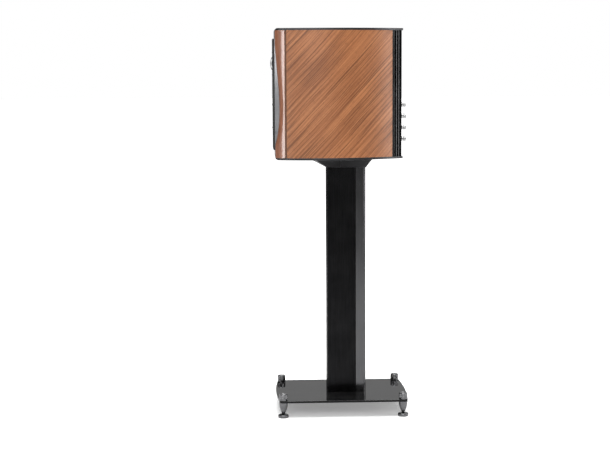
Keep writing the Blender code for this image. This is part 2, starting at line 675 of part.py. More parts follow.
def make_post(number, height, looks, root):
    at = (0, 0, height)
    stud = POST_STUD_RADIUS
    collar_front = CABINET_REAR + GAP
    collar_rear = collar_front + 1.5 * MM
    washer_front = collar_rear + GAP
    washer_rear = washer_front + 1 * MM
    knob_front = washer_rear + GAP
    knob_rear = knob_front + POST_KNOB_LENGTH
    collar = POST_KNOB_RADIUS - 0.5 * MM
    stud_end = knob_rear - 2.6 * MM
    body = [
        (0, REAR_CHANNEL_FLOOR - 8 * MM),
        (stud, REAR_CHANNEL_FLOOR - 8 * MM),
        (stud, collar_front),
        (collar, collar_front),
        (collar, collar_rear),
        (stud, collar_rear),
        (stud, stud_end),
        (0, stud_end),
    ]
    prefix = "post_%d" % number
    add_object(prefix + "_stud", turned(body, "y", 16), looks["silver"], at, root)
    bore = stud + RUNNING
    washer = [(bore, washer_front), (collar, washer_front), (collar, washer_rear), (bore, washer_rear)]
    slide = add_empty(prefix + "_travel", at, root)
    add_object(prefix + "_washer", turned(washer, "y", 16), looks["silver"], parent=slide)
    knob = [
        (bore, knob_front),
        (POST_KNOB_RADIUS - 0.8 * MM, knob_front),
        (POST_KNOB_RADIUS, knob_front + 0.9 * MM),
        (POST_KNOB_RADIUS, knob_rear - 0.8 * MM),
        (POST_KNOB_RADIUS - 0.8 * MM, knob_rear),
        (0, knob_rear),
        (0, knob_rear - 2.2 * MM),
        (bore, knob_rear - 2.2 * MM),
    ]
    add_object(prefix + "_knob", turned_open_bore(knob), looks["silver"], parent=slide)


def turned_open_bore(profile):
    """A turned cap whose blind bore opens at its first point: the two axis points are inner and outer."""
    start = next(i for i, point in enumerate(profile) if point[0] == 0)
    reordered = profile[start + 1 :] + profile[: start + 1]
    return turned(reordered, "y", 16)


# ---------------------------------------------------------------- inside
def make_inside(looks, root):
    board_top = PANEL_BOTTOM + 1.8 * MM
    board = box(-42 * MM, 42 * MM, -70 * MM, 60 * MM, PANEL_BOTTOM, board_top)
    add_object("crossover_board", board, looks["board"], parent=root)
    coil = [(9 * MM, 0), (25 * MM, 0), (25 * MM, 22 * MM), (9 * MM, 22 * MM)]
    add_object("crossover_coil", turned(coil, "z", 24), looks["copper"], (0, -25 * MM, board_top + GAP), root)
    foam = box(-62 * MM, 62 * MM, -110 * MM, 60 * MM, PANEL_TOP - 27 * MM, PANEL_TOP)
    add_object("damping_foam", foam, looks["foam"], parent=root)


# ---------------------------------------------------------------- stand
def bowed_end(half, y, bow, count):
    """Points across one end, from +half to -half, bowed outwards by bow at the middle."""
    return [(x, y + bow * (1 - (x / half) ** 2)) for x in spread(half, -half, count)]


def base_outline():
    w = BASE_HALF_WIDTH
    front = bowed_end(w - BASE_CORNER, BASE_FRONT, -BASE_FRONT_BOW, 15)
    rear = bowed_end(w - BASE_CORNER, BASE_REAR, BASE_REAR_BOW, 15)
    cut_in = BASE_CORNER * 0.3
    front = [(w, BASE_FRONT + BASE_CORNER), (w - cut_in, BASE_FRONT + cut_in)] + front
    front += [(-w + cut_in, BASE_FRONT + cut_in), (-w, BASE_FRONT + BASE_CORNER)]
    rear = [(w, BASE_REAR - BASE_CORNER), (w - cut_in, BASE_REAR - cut_in)] + rear
    rear += [(-w + cut_in, BASE_REAR - cut_in), (-w, BASE_REAR - BASE_CORNER)]
    return front + list(reversed(rear))


def fluted_line(start, end, bow, count):
    """Points from start to end with evenly spaced flutes cut to the left of the line."""
    dx = end[0] - start[0]
    dy = end[1] - start[1]
    length = math.hypot(dx, dy)
    ux, uy = dx / length, dy / length
    pitch = length / count
    points = []
    for i in range(count):
        for along, depth in ((0.0, 0.0), (0.29, 0.0), (0.47, 1.0), (0.82, 1.0)):
            run = pitch * (i + along)
            middle = 2 * run / length - 1
            out = bow * (1 - middle**2) - FLUTE_DEPTH * depth
            points.append((start[0] + ux * run + uy * out, start[1] + uy * run - ux * out))
    return points


def make_column(looks, root):
    w = COLUMN_HALF_WIDTH
    side_count = round((COLUMN_SEAM - COLUMN_FRONT) / FLUTE_PITCH)
    nose_count = round(2 * w / FLUTE_PITCH)
    left = fluted_line((-w, COLUMN_SEAM), (-w, COLUMN_FRONT), 0, side_count)
    nose = fluted_line((-w, COLUMN_FRONT), (w, COLUMN_FRONT), COLUMN_NOSE_BOW, nose_count)
    right = fluted_line((w, COLUMN_FRONT), (w, COLUMN_SEAM), 0, side_count)
    outline = left + nose + right + [(w, COLUMN_SEAM)]
    wall = COLUMN_WALL
    inside = w - wall
    near = COLUMN_FRONT + wall
    far = COLUMN_SEAM - wall
    cavity = [(inside, near), (inside, far), (-inside, far), (-inside, near)]
    tube = extruded(outline, COLUMN_BOTTOM, COLUMN_TOP, [cavity])
    add_object("column_fluted", tube, looks["dark_metal"], parent=root)
    start = COLUMN_SEAM + GAP
    outer = [(w, start)]
    inner = [(w - wall, start)]
    r = COLUMN_REAR_CORNER
    for angle in spread(0, math.pi / 2, 6):
        outer.append((w - r + r * math.cos(angle), COLUMN_REAR - r + r * math.sin(angle)))
        small = r - wall
        inner.append((w - r + small * math.cos(angle), COLUMN_REAR - r + small * math.sin(angle)))
    outer += [(-x, y) for x, y in reversed(outer)]
    inner += [(-x, y) for x, y in reversed(inner)]
    cover = extruded(outer + list(reversed(inner)), COLUMN_BOTTOM, COLUMN_TOP)
    add_object("column_rear_cover", cover, looks["graphite"], parent=root)


def bracket_ring(half, side_y, bow, seam, z, count=13):
    ring = [(half, seam, z)]
    ring += [(x, y, z) for x, y in bowed_end(half, side_y, bow, count)]
    ring.append((-half, seam, z))
    return ring


def make_bracket(looks, root):
    foot = COLUMN_HALF_WIDTH + BRACKET_FOOT_MARGIN
    top = BRACKET_TOP_HALF_WIDTH
    front_foot = COLUMN_FRONT - BRACKET_FOOT_MARGIN
    rear_foot = COLUMN_REAR + BRACKET_FOOT_MARGIN
    front_rings = [
        bracket_ring(foot, front_foot, -COLUMN_NOSE_BOW, BRACKET_SEAM, BRACKET_BOTTOM),
        bracket_ring(top, BRACKET_TOP_FRONT, -BRACKET_TOP_NOSE_BOW, BRACKET_SEAM, BRACKET_TOP),
    ]
    add_object("bracket_front", lofted(front_rings), looks["graphite"], parent=root)
    rear_seam = BRACKET_SEAM + GAP
    rear_rings = [
        bracket_ring(foot, rear_foot, 0, rear_seam, BRACKET_BOTTOM),
        bracket_ring(top, BRACKET_TOP_REAR, BRACKET_TOP_REAR_BOW, rear_seam, BRACKET_TOP),
    ]
    add_object("bracket_rear", lofted(rear_rings), looks["graphite"], parent=root)
    half = top - MAT_MARGIN
    front = bowed_end(half, BRACKET_TOP_FRONT + MAT_MARGIN, -BRACKET_TOP_NOSE_BOW, 13)
    rear = bowed_end(half, BRACKET_TOP_REAR - MAT_MARGIN, BRACKET_TOP_REAR_BOW, 13)
    mat = extruded(front + list(reversed(rear)), MAT_BOTTOM, MAT_TOP)
    add_object("isolation_mat", mat, looks["rubber"], parent=root)


def spike_profile():
    """A convex cone from its tip to its shoulder under the plate, then the threaded stem."""
    shoulder = BASE_UNDERSIDE - GAP
    stem_top = BASE_TOP + LOCK_KNOB_HEIGHT - 2 * MM
    points = [(0, SPIKE_TIP_HEIGHT), (0.8 * MM, SPIKE_TIP_HEIGHT)]
    for share in (0.24, 0.43, 0.66, 0.85, 1.0):
        radius = SPIKE_RADIUS * (1 - (1 - share) ** 2.05) ** 0.94
        points.append((radius, SPIKE_TIP_HEIGHT + (shoulder - SPIKE_TIP_HEIGHT) * share))
    points += [(STEM_RADIUS, shoulder), (STEM_RADIUS, stem_top), (0, stem_top)]
    return points


def make_foot(name, x, y, looks, root):
    at = (x, y, 0)
    bottom = BASE_TOP + GAP
    top = bottom + LOCK_KNOB_HEIGHT
    bore = STEM_RADIUS + RUNNING
    r = LOCK_KNOB_RADIUS
    knob = [(0, top - 1.6 * MM), (bore, top - 1.6 * MM), (bore, bottom), (r, bottom)]
    knob += [(r - 0.6 * MM, top - 1.2 * MM), (r - 1.8 * MM, top), (0, top)]
    add_object(name + "_lock_knob", turned(knob, "z", 20), looks["silver"], at, root)
    travel = add_empty(name + "_travel", at, root)
    dish = SPIKE_TIP_HEIGHT - GAP
    shoe = [(0, 0), (SHOE_RADIUS, 0), (SHOE_RADIUS, SHOE_HEIGHT - 1.4 * MM)]
    shoe += [(SHOE_RADIUS - 1.2 * MM, SHOE_HEIGHT), (5 * MM, SHOE_HEIGHT), (2.2 * MM, dish), (0, dish)]
    add_object(name + "_shoe", turned(shoe, "z", 24), looks["silver"], parent=travel)
    add_object(name + "_spike", turned(spike_profile(), "z", 20), looks["silver"], parent=travel)


def make_stand(looks, root):
    spots = {
        "foot_front_left": (-FOOT_X, FOOT_FRONT_Y),
        "foot_front_right": (FOOT_X, FOOT_FRONT_Y),
        "foot_rear_left": (-FOOT_X, FOOT_REAR_Y),
        "foot_rear_right": (FOOT_X, FOOT_REAR_Y),
    }
    holes = [circle_points(spot, STEM_RADIUS + RUNNING, 16) for spot in spots.values()]
    base = extruded(base_outline(), BASE_UNDERSIDE, BASE_TOP, holes)
    add_object("base_plate", base, looks["gloss_black"], parent=root)
    make_column(looks, root)
    make_bracket(looks, root)
    for name, (x, y) in spots.items():
        make_foot(name, x, y, looks, root)


def main():
    for obj in list(bpy.data.objects):
        bpy.data.objects.remove(obj, do_unlink=True)
    looks = make_materials()
    root = add_empty("speaker")
    make_stand(looks, root)
    make_cabinet(looks, root)
    make_rear(looks, root)
    make_inside(looks, root)
    make_woofer(looks, root)
    make_tweeter(looks, root)


main()
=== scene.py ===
import json
import math

import bmesh
import bpy
from mathutils import Matrix, Vector


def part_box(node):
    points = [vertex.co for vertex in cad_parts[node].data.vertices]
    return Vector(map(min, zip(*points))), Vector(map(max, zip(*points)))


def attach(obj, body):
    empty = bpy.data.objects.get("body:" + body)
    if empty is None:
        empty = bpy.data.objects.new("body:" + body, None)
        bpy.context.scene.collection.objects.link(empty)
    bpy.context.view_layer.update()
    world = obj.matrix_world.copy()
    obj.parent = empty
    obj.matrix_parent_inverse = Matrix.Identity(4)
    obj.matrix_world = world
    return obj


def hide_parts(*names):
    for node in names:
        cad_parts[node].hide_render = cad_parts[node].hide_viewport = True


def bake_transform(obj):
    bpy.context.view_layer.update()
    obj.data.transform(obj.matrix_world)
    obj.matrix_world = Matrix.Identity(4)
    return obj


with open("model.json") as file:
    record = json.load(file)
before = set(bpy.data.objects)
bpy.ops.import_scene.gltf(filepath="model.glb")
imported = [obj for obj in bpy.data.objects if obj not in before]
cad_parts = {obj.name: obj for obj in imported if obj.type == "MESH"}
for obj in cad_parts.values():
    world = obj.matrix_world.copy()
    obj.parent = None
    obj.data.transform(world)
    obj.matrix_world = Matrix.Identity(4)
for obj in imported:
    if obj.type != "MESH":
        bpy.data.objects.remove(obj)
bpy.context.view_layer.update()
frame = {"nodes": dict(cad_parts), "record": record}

MM = 0.001
GAP = 0.3 * MM
QUARTER = math.pi / 2
RECORD = frame["record"]
SLOT_OF = {row["node"]: row["material_slot"] for row in RECORD["subparts"]}
BODY_OF = {node: body for body, nodes in RECORD["behaviour"]["bodies"].items() for node in nodes}

WOOFER_LOW, WOOFER_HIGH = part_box("woofer_basket")
WOOFER_Z = (WOOFER_LOW.z + WOOFER_HIGH.z) / 2
WOOFER_AXIS = (0, WOOFER_Z)
WOOFER_RADIUS = WOOFER_HIGH.x
TWEETER_LOW, TWEETER_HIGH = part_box("tweeter_faceplate")
TWEETER_AXIS = (0, (TWEETER_LOW.z + TWEETER_HIGH.z) / 2)
TWEETER_RADIUS = TWEETER_HIGH.x
SKIN_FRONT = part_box("baffle_skin")[0].y
CABINET_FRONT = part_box("front_rail_top")[0].y
CABINET_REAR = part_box("rear_panel")[1].y
WIDEST_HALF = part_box("cabinet_side_right")[1].x
WIDEST_Y = -50 * MM
SIDE_TAPER = 69.6 * MM
SIDE_RADIUS = ((CABINET_REAR - WIDEST_Y) ** 2 + SIDE_TAPER**2) / (2 * SIDE_TAPER)
SIDE_THICKNESS = 16 * MM
NOSE_DEPTH = 10 * MM
NOSE_WIDTH = 6.5 * MM
SCOOP_DEPTH = 11.7 * MM
SIDES = (("left", -1), ("right", 1))
POSTS = (1, 2, 3, 4)
FEET = ("foot_front_left", "foot_front_right", "foot_rear_left", "foot_rear_right")


# ---------------------------------------------------------------- node helpers
def put(tree, kind, inputs=None, **settings):
    """Adds one node, sets what it is told and links the sockets it is given."""
    made = tree.nodes.new(kind)
    for key, value in settings.items():
        setattr(made, key, value)
    for key, value in (inputs or {}).items():
        socket = made.inputs[key]
        if isinstance(value, bpy.types.NodeSocket):
            tree.links.new(value, socket)
        elif socket.type == "RGBA" and len(value) == 3:
            socket.default_value = (*value, 1)
        else:
            socket.default_value = value
    return made


def maths(tree, operation, first, second=0.0):
    return put(tree, "ShaderNodeMath", {0: first, 1: second}, operation=operation).outputs[0]


def mixed(tree, share, first, second, blend="MIX"):
    inputs = {0: share, 6: first, 7: second}
    return put(tree, "ShaderNodeMix", inputs, data_type="RGBA", blend_type=blend).outputs[2]


def remapped(tree, value, low, high, to_low=0.0, to_high=1.0):
    inputs = {0: value, 1: low, 2: high, 3: to_low, 4: to_high}
    return put(tree, "ShaderNodeMapRange", inputs).outputs[0]


def noise(tree, place, scale, detail=2.0, roughness=0.5):
    inputs = {"Vector": place, "Scale": scale, "Detail": detail, "Roughness": roughness}
    return put(tree, "ShaderNodeTexNoise", inputs).outputs[0]


def stretched(tree, place, factors):
    return put(tree, "ShaderNodeVectorMath", {0: place, 1: factors}, operation="MULTIPLY").outputs[0]


def streaked(tree, place, across, along, detail=2.0, roughness=0.5):
    """Noise drawn out along the vector's Y."""
    return noise(tree, stretched(tree, place, (across, along, across)), 1.0, detail, roughness)


def oriented(tree, place, turn):
    inputs = {"Vector": place, "Rotation": turn}
    return put(tree, "ShaderNodeMapping", inputs, vector_type="POINT").outputs[0]


def grouped(tree, group, inputs):
    return put(tree, "ShaderNodeGroup", inputs, node_tree=group).outputs


def weighted(tree, first, first_share, second, second_share):
    first_part = maths(tree, "MULTIPLY", first, first_share)
    return maths(tree, "ADD", first_part, maths(tree, "MULTIPLY", second, second_share))


def new_group(name, inputs, outputs):
    tree = bpy.data.node_groups.new(name, "ShaderNodeTree")
    kinds = {"value": "NodeSocketFloat", "colour": "NodeSocketColor", "vector": "NodeSocketVector"}
    for label, kind in inputs:
        tree.interface.new_socket(label, in_out="INPUT", socket_type=kinds[kind])
    for label, kind in outputs:
        tree.interface.new_socket(label, in_out="OUTPUT", socket_type=kinds[kind])
    return tree, put(tree, "NodeGroupInput").outputs, put(tree, "NodeGroupOutput").inputs


# ---------------------------------------------------------------- shared effects
def make_wood_grain():
    """Wood figure that runs along the vector's Y: broad bands, streaks, fine fibres and open pores."""
    inputs = [("Vector", "vector"), ("Light wood", "colour"), ("Dark wood", "colour")]
    inputs += [("Pore wood", "colour"), ("Line strength", "value")]
    outputs = [("Color", "colour"), ("Roughness", "value"), ("Height", "value")]
    tree, given, result = new_group("wood_grain", inputs, outputs)
    wobble = streaked(tree, given["Vector"], 9, 5, 1.0)
    sway = maths(tree, "MULTIPLY", maths(tree, "SUBTRACT", wobble, 0.5), 0.008)
    shift = put(tree, "ShaderNodeCombineXYZ", {"Z": sway}).outputs[0]
    grain = put(tree, "ShaderNodeVectorMath", {0: given["Vector"], 1: shift}, operation="ADD").outputs[0]
    bands = streaked(tree, grain, 85, 2.0)
    streaks = streaked(tree, grain, 210, 2.6, 3.0, 0.7)
    fibres = streaked(tree, grain, 900, 26, 2.0, 0.6)
    lines = streaked(tree, grain, 340, 3.6, 1.5)
    patches = streaked(tree, grain, 14, 7)
    tone = maths(tree, "MULTIPLY", bands, 0.16)
    for part, weight in ((streaks, 0.54), (fibres, 0.16), (patches, 0.14)):
        tone = maths(tree, "ADD", tone, maths(tree, "MULTIPLY", part, weight))
    colour = mixed(tree, remapped(tree, tone, 0.40, 0.60), given["Dark wood"], given["Light wood"])
    line = maths(tree, "MULTIPLY", remapped(tree, lines, 0.54, 0.62), given["Line strength"])
    colour = mixed(tree, line, colour, given["Pore wood"])
    pores = streaked(tree, grain, 1500, 70, 1.0)
    pore = maths(tree, "MULTIPLY", remapped(tree, pores, 0.60, 0.70), 0.55)
    colour = mixed(tree, pore, colour, given["Pore wood"])
    tree.links.new(colour, result["Color"])
    tree.links.new(remapped(tree, tone, 0.35, 0.65, 0.42, 0.30), result["Roughness"])
    height = maths(tree, "SUBTRACT", maths(tree, "MULTIPLY", fibres, 0.5), pore)
    height = maths(tree, "SUBTRACT", height, maths(tree, "MULTIPLY", line, 0.4))
    tree.links.new(height, result["Height"])
    return tree


def make_worn_edges():
    """1 along the piece's sharp edges and 0 on its faces, broken up by small nicks."""
    inputs = [("Width", "value"), ("Nick size", "value")]
    tree, given, result = new_group("worn_edges", inputs, [("Mask", "value")])
    rounded = put(tree, "ShaderNodeBevel", {"Radius": given["Width"]}, samples=4).outputs[0]
    flat = put(tree, "ShaderNodeNewGeometry").outputs["Normal"]
    same = put(tree, "ShaderNodeVectorMath", {0: rounded, 1: flat}, operation="DOT_PRODUCT").outputs["Value"]
    edge = remapped(tree, same, 0.985, 0.86)
    place = put(tree, "ShaderNodeTexCoord").outputs["Object"]
    nicks = remapped(tree, noise(tree, place, given["Nick size"], 3.0, 0.6), 0.35, 0.62, 0.35, 1.0)
    tree.links.new(maths(tree, "MULTIPLY", edge, nicks), result["Mask"])
    return tree


def make_settled_dust():
    """Thin dust: strongest on faces that look up, in soft clouds with a few specks."""
    inputs = [("Vector", "vector"), ("Amount", "value")]
    tree, given, result = new_group("settled_dust", inputs, [("Mask", "value")])
    normal = put(tree, "ShaderNodeNewGeometry").outputs["Normal"]
    up = put(tree, "ShaderNodeSeparateXYZ", {0: normal}).outputs["Z"]
    shelf = remapped(tree, up, 0.1, 0.95, 0.12, 1.0)
    clouds = remapped(tree, noise(tree, given["Vector"], 22.0, 4.0, 0.65), 0.36, 0.72)
    specks = remapped(tree, noise(tree, given["Vector"], 1600.0, 1.0, 0.5), 0.70, 0.78)
    both = maths(tree, "ADD", clouds, specks)
    both = maths(tree, "MULTIPLY", maths(tree, "MULTIPLY", both, shelf), given["Amount"])
    tree.links.new(both, result["Mask"])
    return tree


def make_powder_speckle():
    """The fine uneven skin of powder coat, cast metal or moulded plastic."""
    inputs = [("Vector", "vector"), ("Grains per metre", "value")]
    tree, given, result = new_group("powder_speckle", inputs, [("Shade", "value"), ("Height", "value")])
    fine = noise(tree, given["Vector"], given["Grains per metre"], 2.0, 0.6)
    broad = noise(tree, given["Vector"], 9.0, 3.0, 0.55)
    shade = weighted(tree, fine, 0.45, broad, 0.55)
    tree.links.new(remapped(tree, shade, 0.36, 0.64), result["Shade"])
    tree.links.new(fine, result["Height"])
    return tree


def make_brushed_lines():
    """Fine straight scratches; the vector's Y runs along them."""
    inputs = [("Vector", "vector"), ("Lines per metre", "value")]
    tree, given, result = new_group("brushed_lines", inputs, [("Shade", "value"), ("Height", "value")])
    across = given["Lines per metre"]
    scale = put(tree, "ShaderNodeCombineXYZ", {0: across, 1: 14.0, 2: across}).outputs[0]
    lines = noise(tree, stretched(tree, given["Vector"], scale), 1.0, 3.0, 0.7)
    broad = noise(tree, given["Vector"], 12.0, 2.0, 0.5)
    shade = weighted(tree, lines, 0.6, broad, 0.4)
    tree.links.new(remapped(tree, shade, 0.36, 0.64), result["Shade"])
    tree.links.new(lines, result["Height"])
    return tree


def make_hide_pebble():
    """Pebbled leather: rounded cells with fine creases between them."""
    inputs = [("Vector", "vector"), ("Pebbles per metre", "value")]
    tree, given, result = new_group("hide_pebble", inputs, [("Crease", "value"), ("Height", "value")])
    drift = noise(tree, given["Vector"], 320.0, 2.0, 0.6)
    bent = maths(tree, "MULTIPLY", drift, 0.0012)
    offset = put(tree, "ShaderNodeCombineXYZ", {0: bent, 1: bent, 2: bent}).outputs[0]
    place = put(tree, "ShaderNodeVectorMath", {0: given["Vector"], 1: offset}, operation="ADD").outputs[0]
    inputs = {"Vector": place, "Scale": given["Pebbles per metre"]}
    cells = put(tree, "ShaderNodeTexVoronoi", inputs, feature="DISTANCE_TO_EDGE").outputs[0]
    dome = remapped(tree, cells, 0.0, 0.28)
    tree.links.new(remapped(tree, cells, 0.09, 0.0), result["Crease"])
    fine = noise(tree, given["Vector"], 2400.0, 2.0, 0.6)
    tree.links.new(maths(tree, "ADD", dome, maths(tree, "MULTIPLY", fine, 0.25)), result["Height"])
    return tree


def make_thread_weave():
    """Plain weave seen along Y: threads over and under in X and Z."""
    inputs = [("Vector", "vector"), ("Threads per metre", "value")]
    tree, given, result = new_group("thread_weave", inputs, [("Shade", "value"), ("Height", "value")])
    parts = put(tree, "ShaderNodeSeparateXYZ", {0: given["Vector"]}).outputs
    turn = maths(tree, "MULTIPLY", given["Threads per metre"], math.pi)
    across = maths(tree, "SINE", maths(tree, "MULTIPLY", parts["X"], turn))
    upward = maths(tree, "SINE", maths(tree, "MULTIPLY", parts["Z"], turn))
    height = maths(tree, "ABSOLUTE", maths(tree, "MULTIPLY", across, upward))
    tree.links.new(height, result["Height"])
    patchy = noise(tree, given["Vector"], 300.0, 2.0, 0.5)
    # Painted shade: Shade is half the weave height, so raised threads come out lighter and the hollows between
    # them darker; the other half is random patches.
    tree.links.new(weighted(tree, height, 0.5, patchy, 0.5), result["Shade"])
    return tree


WOOD_GRAIN = make_wood_grain()
WORN_EDGES = make_worn_edges()
SETTLED_DUST = make_settled_dust()
POWDER_SPECKLE = make_powder_speckle()
BRUSHED_LINES = make_brushed_lines()
HIDE_PEBBLE = make_hide_pebble()
THREAD_WEAVE = make_thread_weave()


# ---------------------------------------------------------------- finishes
def new_finish(name, constants):
    made = bpy.data.materials.new(name)
    made.use_nodes = True
    tree = made.node_tree
    shader = tree.nodes["Principled BSDF"]
    for label, value in constants.items():
        shader.inputs[label].default_value = value
    place = put(tree, "ShaderNodeTexCoord").outputs["Object"]
    return made, tree, shader, place


def raise_surface(tree, shader, height, strength, depth):
    inputs = {"Height": height, "Strength": strength, "Distance": depth}
    tree.links.new(put(tree, "ShaderNodeBump", inputs).outputs[0], shader.inputs["Normal"])


def finish_from(tree, shader, colour, roughness):
    tree.links.new(colour, shader.inputs["Base Color"])
    tree.links.new(roughness, shader.inputs["Roughness"])


def dusted(tree, place, colour, amount):
    dust = grouped(tree, SETTLED_DUST, {"Vector": place, "Amount": amount})
    return mixed(tree, dust["Mask"], colour, (0.34, 0.33, 0.31))


def rubbed(tree, colour, bare, share, width, nick_size):
    """Lets the bare colour through along the piece's edges."""
    wear = grouped(tree, WORN_EDGES, {"Width": width, "Nick size": nick_size})
    return mixed(tree, maths(tree, "MULTIPLY", wear["Mask"], share), colour, bare)


def wood_finish(name, turn, flatten, light, dark, pore, line_strength, constants):
    """Lacquered wood; turn sets which way the grain runs and flatten drops the depth axis for veneer."""
    made, tree, shader, place = new_finish(name, constants)
    turned_place = oriented(tree, place, turn)
    if flatten:
        turned_place = stretched(tree, turned_place, (0, 1, 1))
    inputs = {"Vector": turned_place, "Light wood": light, "Dark wood": dark, "Pore wood": pore}
    inputs["Line strength"] = line_strength
    grain = grouped(tree, WOOD_GRAIN, inputs)
    bare = tuple(min(1.0, 1.25 * c) for c in light)
    colour = rubbed(tree, grain["Color"], bare, 0.35, 0.9 * MM, 160.0)
    finish_from(tree, shader, dusted(tree, place, colour, 0.05), grain["Roughness"])
    raise_surface(tree, shader, grain["Height"], 0.35, 0.12 * MM)
    return made


def coated_finish(name, constants, grains, rough, low, high, bare, depth=0.05 * MM, share=0.6, dust=0.12):
    """Powder-coated, cast or moulded skin with lighter rubbed edges."""
    made, tree, shader, place = new_finish(name, constants)
    speckle = grouped(tree, POWDER_SPECKLE, {"Vector": place, "Grains per metre": grains})
    colour = mixed(tree, speckle["Shade"], low, high)
    colour = dusted(tree, place, rubbed(tree, colour, bare, share, 0.8 * MM, 220.0), dust)
    finish_from(tree, shader, colour, remapped(tree, speckle["Shade"], 0.0, 1.0, *rough))
    raise_surface(tree, shader, speckle["Height"], 0.5, depth)
    return made


def brushed_finish(name, turn, lines, rough, low, high, bare):
    """Metal with fine straight tool marks along one direction."""
    made, tree, shader, place = new_finish(name, METAL)
    inputs = {"Vector": oriented(tree, place, turn), "Lines per metre": lines}
    marks = grouped(tree, BRUSHED_LINES, inputs)
    colour = mixed(tree, marks["Shade"], low, high)
    colour = dusted(tree, place, rubbed(tree, colour, bare, 0.5, 0.6 * MM, 260.0), 0.06)
    finish_from(tree, shader, colour, remapped(tree, marks["Shade"], 0.0, 1.0, *rough))
    raise_surface(tree, shader, marks["Height"], 0.4, 0.02 * MM)
    return made


def hide_finish():
    made, tree, shader, place = new_finish("baffle_hide", {"Specular IOR Level": 0.4})
    pebble = grouped(tree, HIDE_PEBBLE, {"Vector": place, "Pebbles per metre": 900.0})
    speckle = grouped(tree, POWDER_SPECKLE, {"Vector": place, "Grains per metre": 500.0})
    colour = mixed(tree, speckle["Shade"], (0.012, 0.012, 0.013), (0.022, 0.021, 0.021))
    # Painted shade: the recessed creases between the pebbles are coloured near black.
    colour = mixed(tree, pebble["Crease"], colour, (0.005, 0.005, 0.005))
    roughness = remapped(tree, pebble["Crease"], 0.0, 1.0, 0.42, 0.75)
    finish_from(tree, shader, dusted(tree, place, colour, 0.08), roughness)
    raise_surface(tree, shader, pebble["Height"], 0.6, 0.18 * MM)
    return made


def woven_finish(name, low, high, threads, rough, depth):
    made, tree, shader, place = new_finish(name, {"Specular IOR Level": 0.3})
    weave = grouped(tree, THREAD_WEAVE, {"Vector": place, "Threads per metre": threads})
    # Painted shade: the cloth runs from the dark tone in the weave's hollows to the light tone on its raised
    # threads, with random patches.
    colour = mixed(tree, weave["Shade"], low, high)
    finish_from(tree, shader, colour, remapped(tree, weave["Shade"], 0.0, 1.0, *rough))
    raise_surface(tree, shader, weave["Height"], 0.7, depth)
    return made


def wound_finish():
    """Enamelled copper wire, wound in fine even turns up the coil."""
    made, tree, shader, place = new_finish("wound_copper", {"Metallic": 1.0})
    parts = put(tree, "ShaderNodeSeparateXYZ", {0: place}).outputs
    along = maths(tree, "ADD", parts["Y"], parts["Z"])
    turns = maths(tree, "SINE", maths(tree, "MULTIPLY", along, 2 * math.pi / (0.6 * MM)))
    shade = remapped(tree, turns, -1.0, 1.0)
    patchy = noise(tree, place, 90.0, 2.0)
    # Painted highlight and shade: each wire turn is coloured light on its crest and dark in the groove between
    # turns, broken up by random patches.
    colour = mixed(tree, maths(tree, "MULTIPLY", shade, patchy), (0.20, 0.06, 0.025), (0.62, 0.25, 0.11))
    finish_from(tree, shader, colour, remapped(tree, patchy, 0.3, 0.7, 0.25, 0.45))
    raise_surface(tree, shader, shade, 0.6, 0.2 * MM)
    return made


def foam_finish():
    made, tree, shader, place = new_finish("open_foam", {"Specular IOR Level": 0.15})
    inputs = {"Vector": place, "Scale": 700.0}
    cells = put(tree, "ShaderNodeTexVoronoi", inputs, feature="F1").outputs[0]
    pore = remapped(tree, cells, 0.15, 0.75)
    shade = noise(tree, place, 30.0, 3.0)
    # Painted shade: the pits of the open cells are coloured darker than the cell walls.
    colour = mixed(tree, pore, (0.10, 0.10, 0.105), (0.25, 0.25, 0.26))
    colour = mixed(tree, maths(tree, "MULTIPLY", shade, 0.5), colour, (0.16, 0.155, 0.15))
    finish_from(tree, shader, colour, remapped(tree, pore, 0.0, 1.0, 0.98, 0.85))
    raise_surface(tree, shader, pore, 0.8, 0.7 * MM)
    return made


def cone_finish():
    """Pressed cone with faint rings about the drive unit's axis and short mixed fibres."""
    made, tree, shader, place = new_finish("pressed_cone", {"Specular IOR Level": 0.35})
    parts = put(tree, "ShaderNodeSeparateXYZ", {0: place}).outputs
    up = maths(tree, "SUBTRACT", parts["Z"], WOOFER_Z)
    radius = maths(tree, "SQRT", weighted(tree, parts["X"], parts["X"], up, up))
    rings = maths(tree, "SINE", maths(tree, "MULTIPLY", radius, 2 * math.pi / (1.6 * MM)))
    fibres = noise(tree, stretched(tree, place, (900, 900, 260)), 1.0, 3.0, 0.65)
    cross = noise(tree, stretched(tree, place, (240, 900, 950)), 1.0, 3.0, 0.65)
    pulp = maths(tree, "MULTIPLY", maths(tree, "ADD", fibres, cross), 0.5)
    colour = mixed(tree, remapped(tree, pulp, 0.38, 0.62), (0.030, 0.030, 0.031), (0.085, 0.084, 0.082))
    finish_from(tree, shader, colour, remapped(tree, pulp, 0.35, 0.65, 0.62, 0.45))
    height = maths(tree, "ADD", maths(tree, "MULTIPLY", rings, 0.25), pulp)
    raise_surface(tree, shader, height, 0.5, 0.12 * MM)
    return made


METAL = {"Metallic": 1.0}
PLAIN = {"Metallic": 0.0, "Specular IOR Level": 0.5}
SATIN_LACQUER = {"Coat Weight": 0.2, "Coat Roughness": 0.3, "Specular IOR Level": 0.35}
GLOSS_LACQUER = {"Coat Weight": 1.0, "Coat Roughness": 0.07, "Specular IOR Level": 0.5}
GLOSS_COAT = {"Metallic": 0.0, "Specular IOR Level": 0.55, "Coat Weight": 0.6, "Coat Roughness": 0.03}
LEVEL_TURN = (0, 0, 0)
VENEER_TURN = (math.radians(-47), 0, 0)
UPRIGHT_TURN = (math.radians(-90), 0, 0)

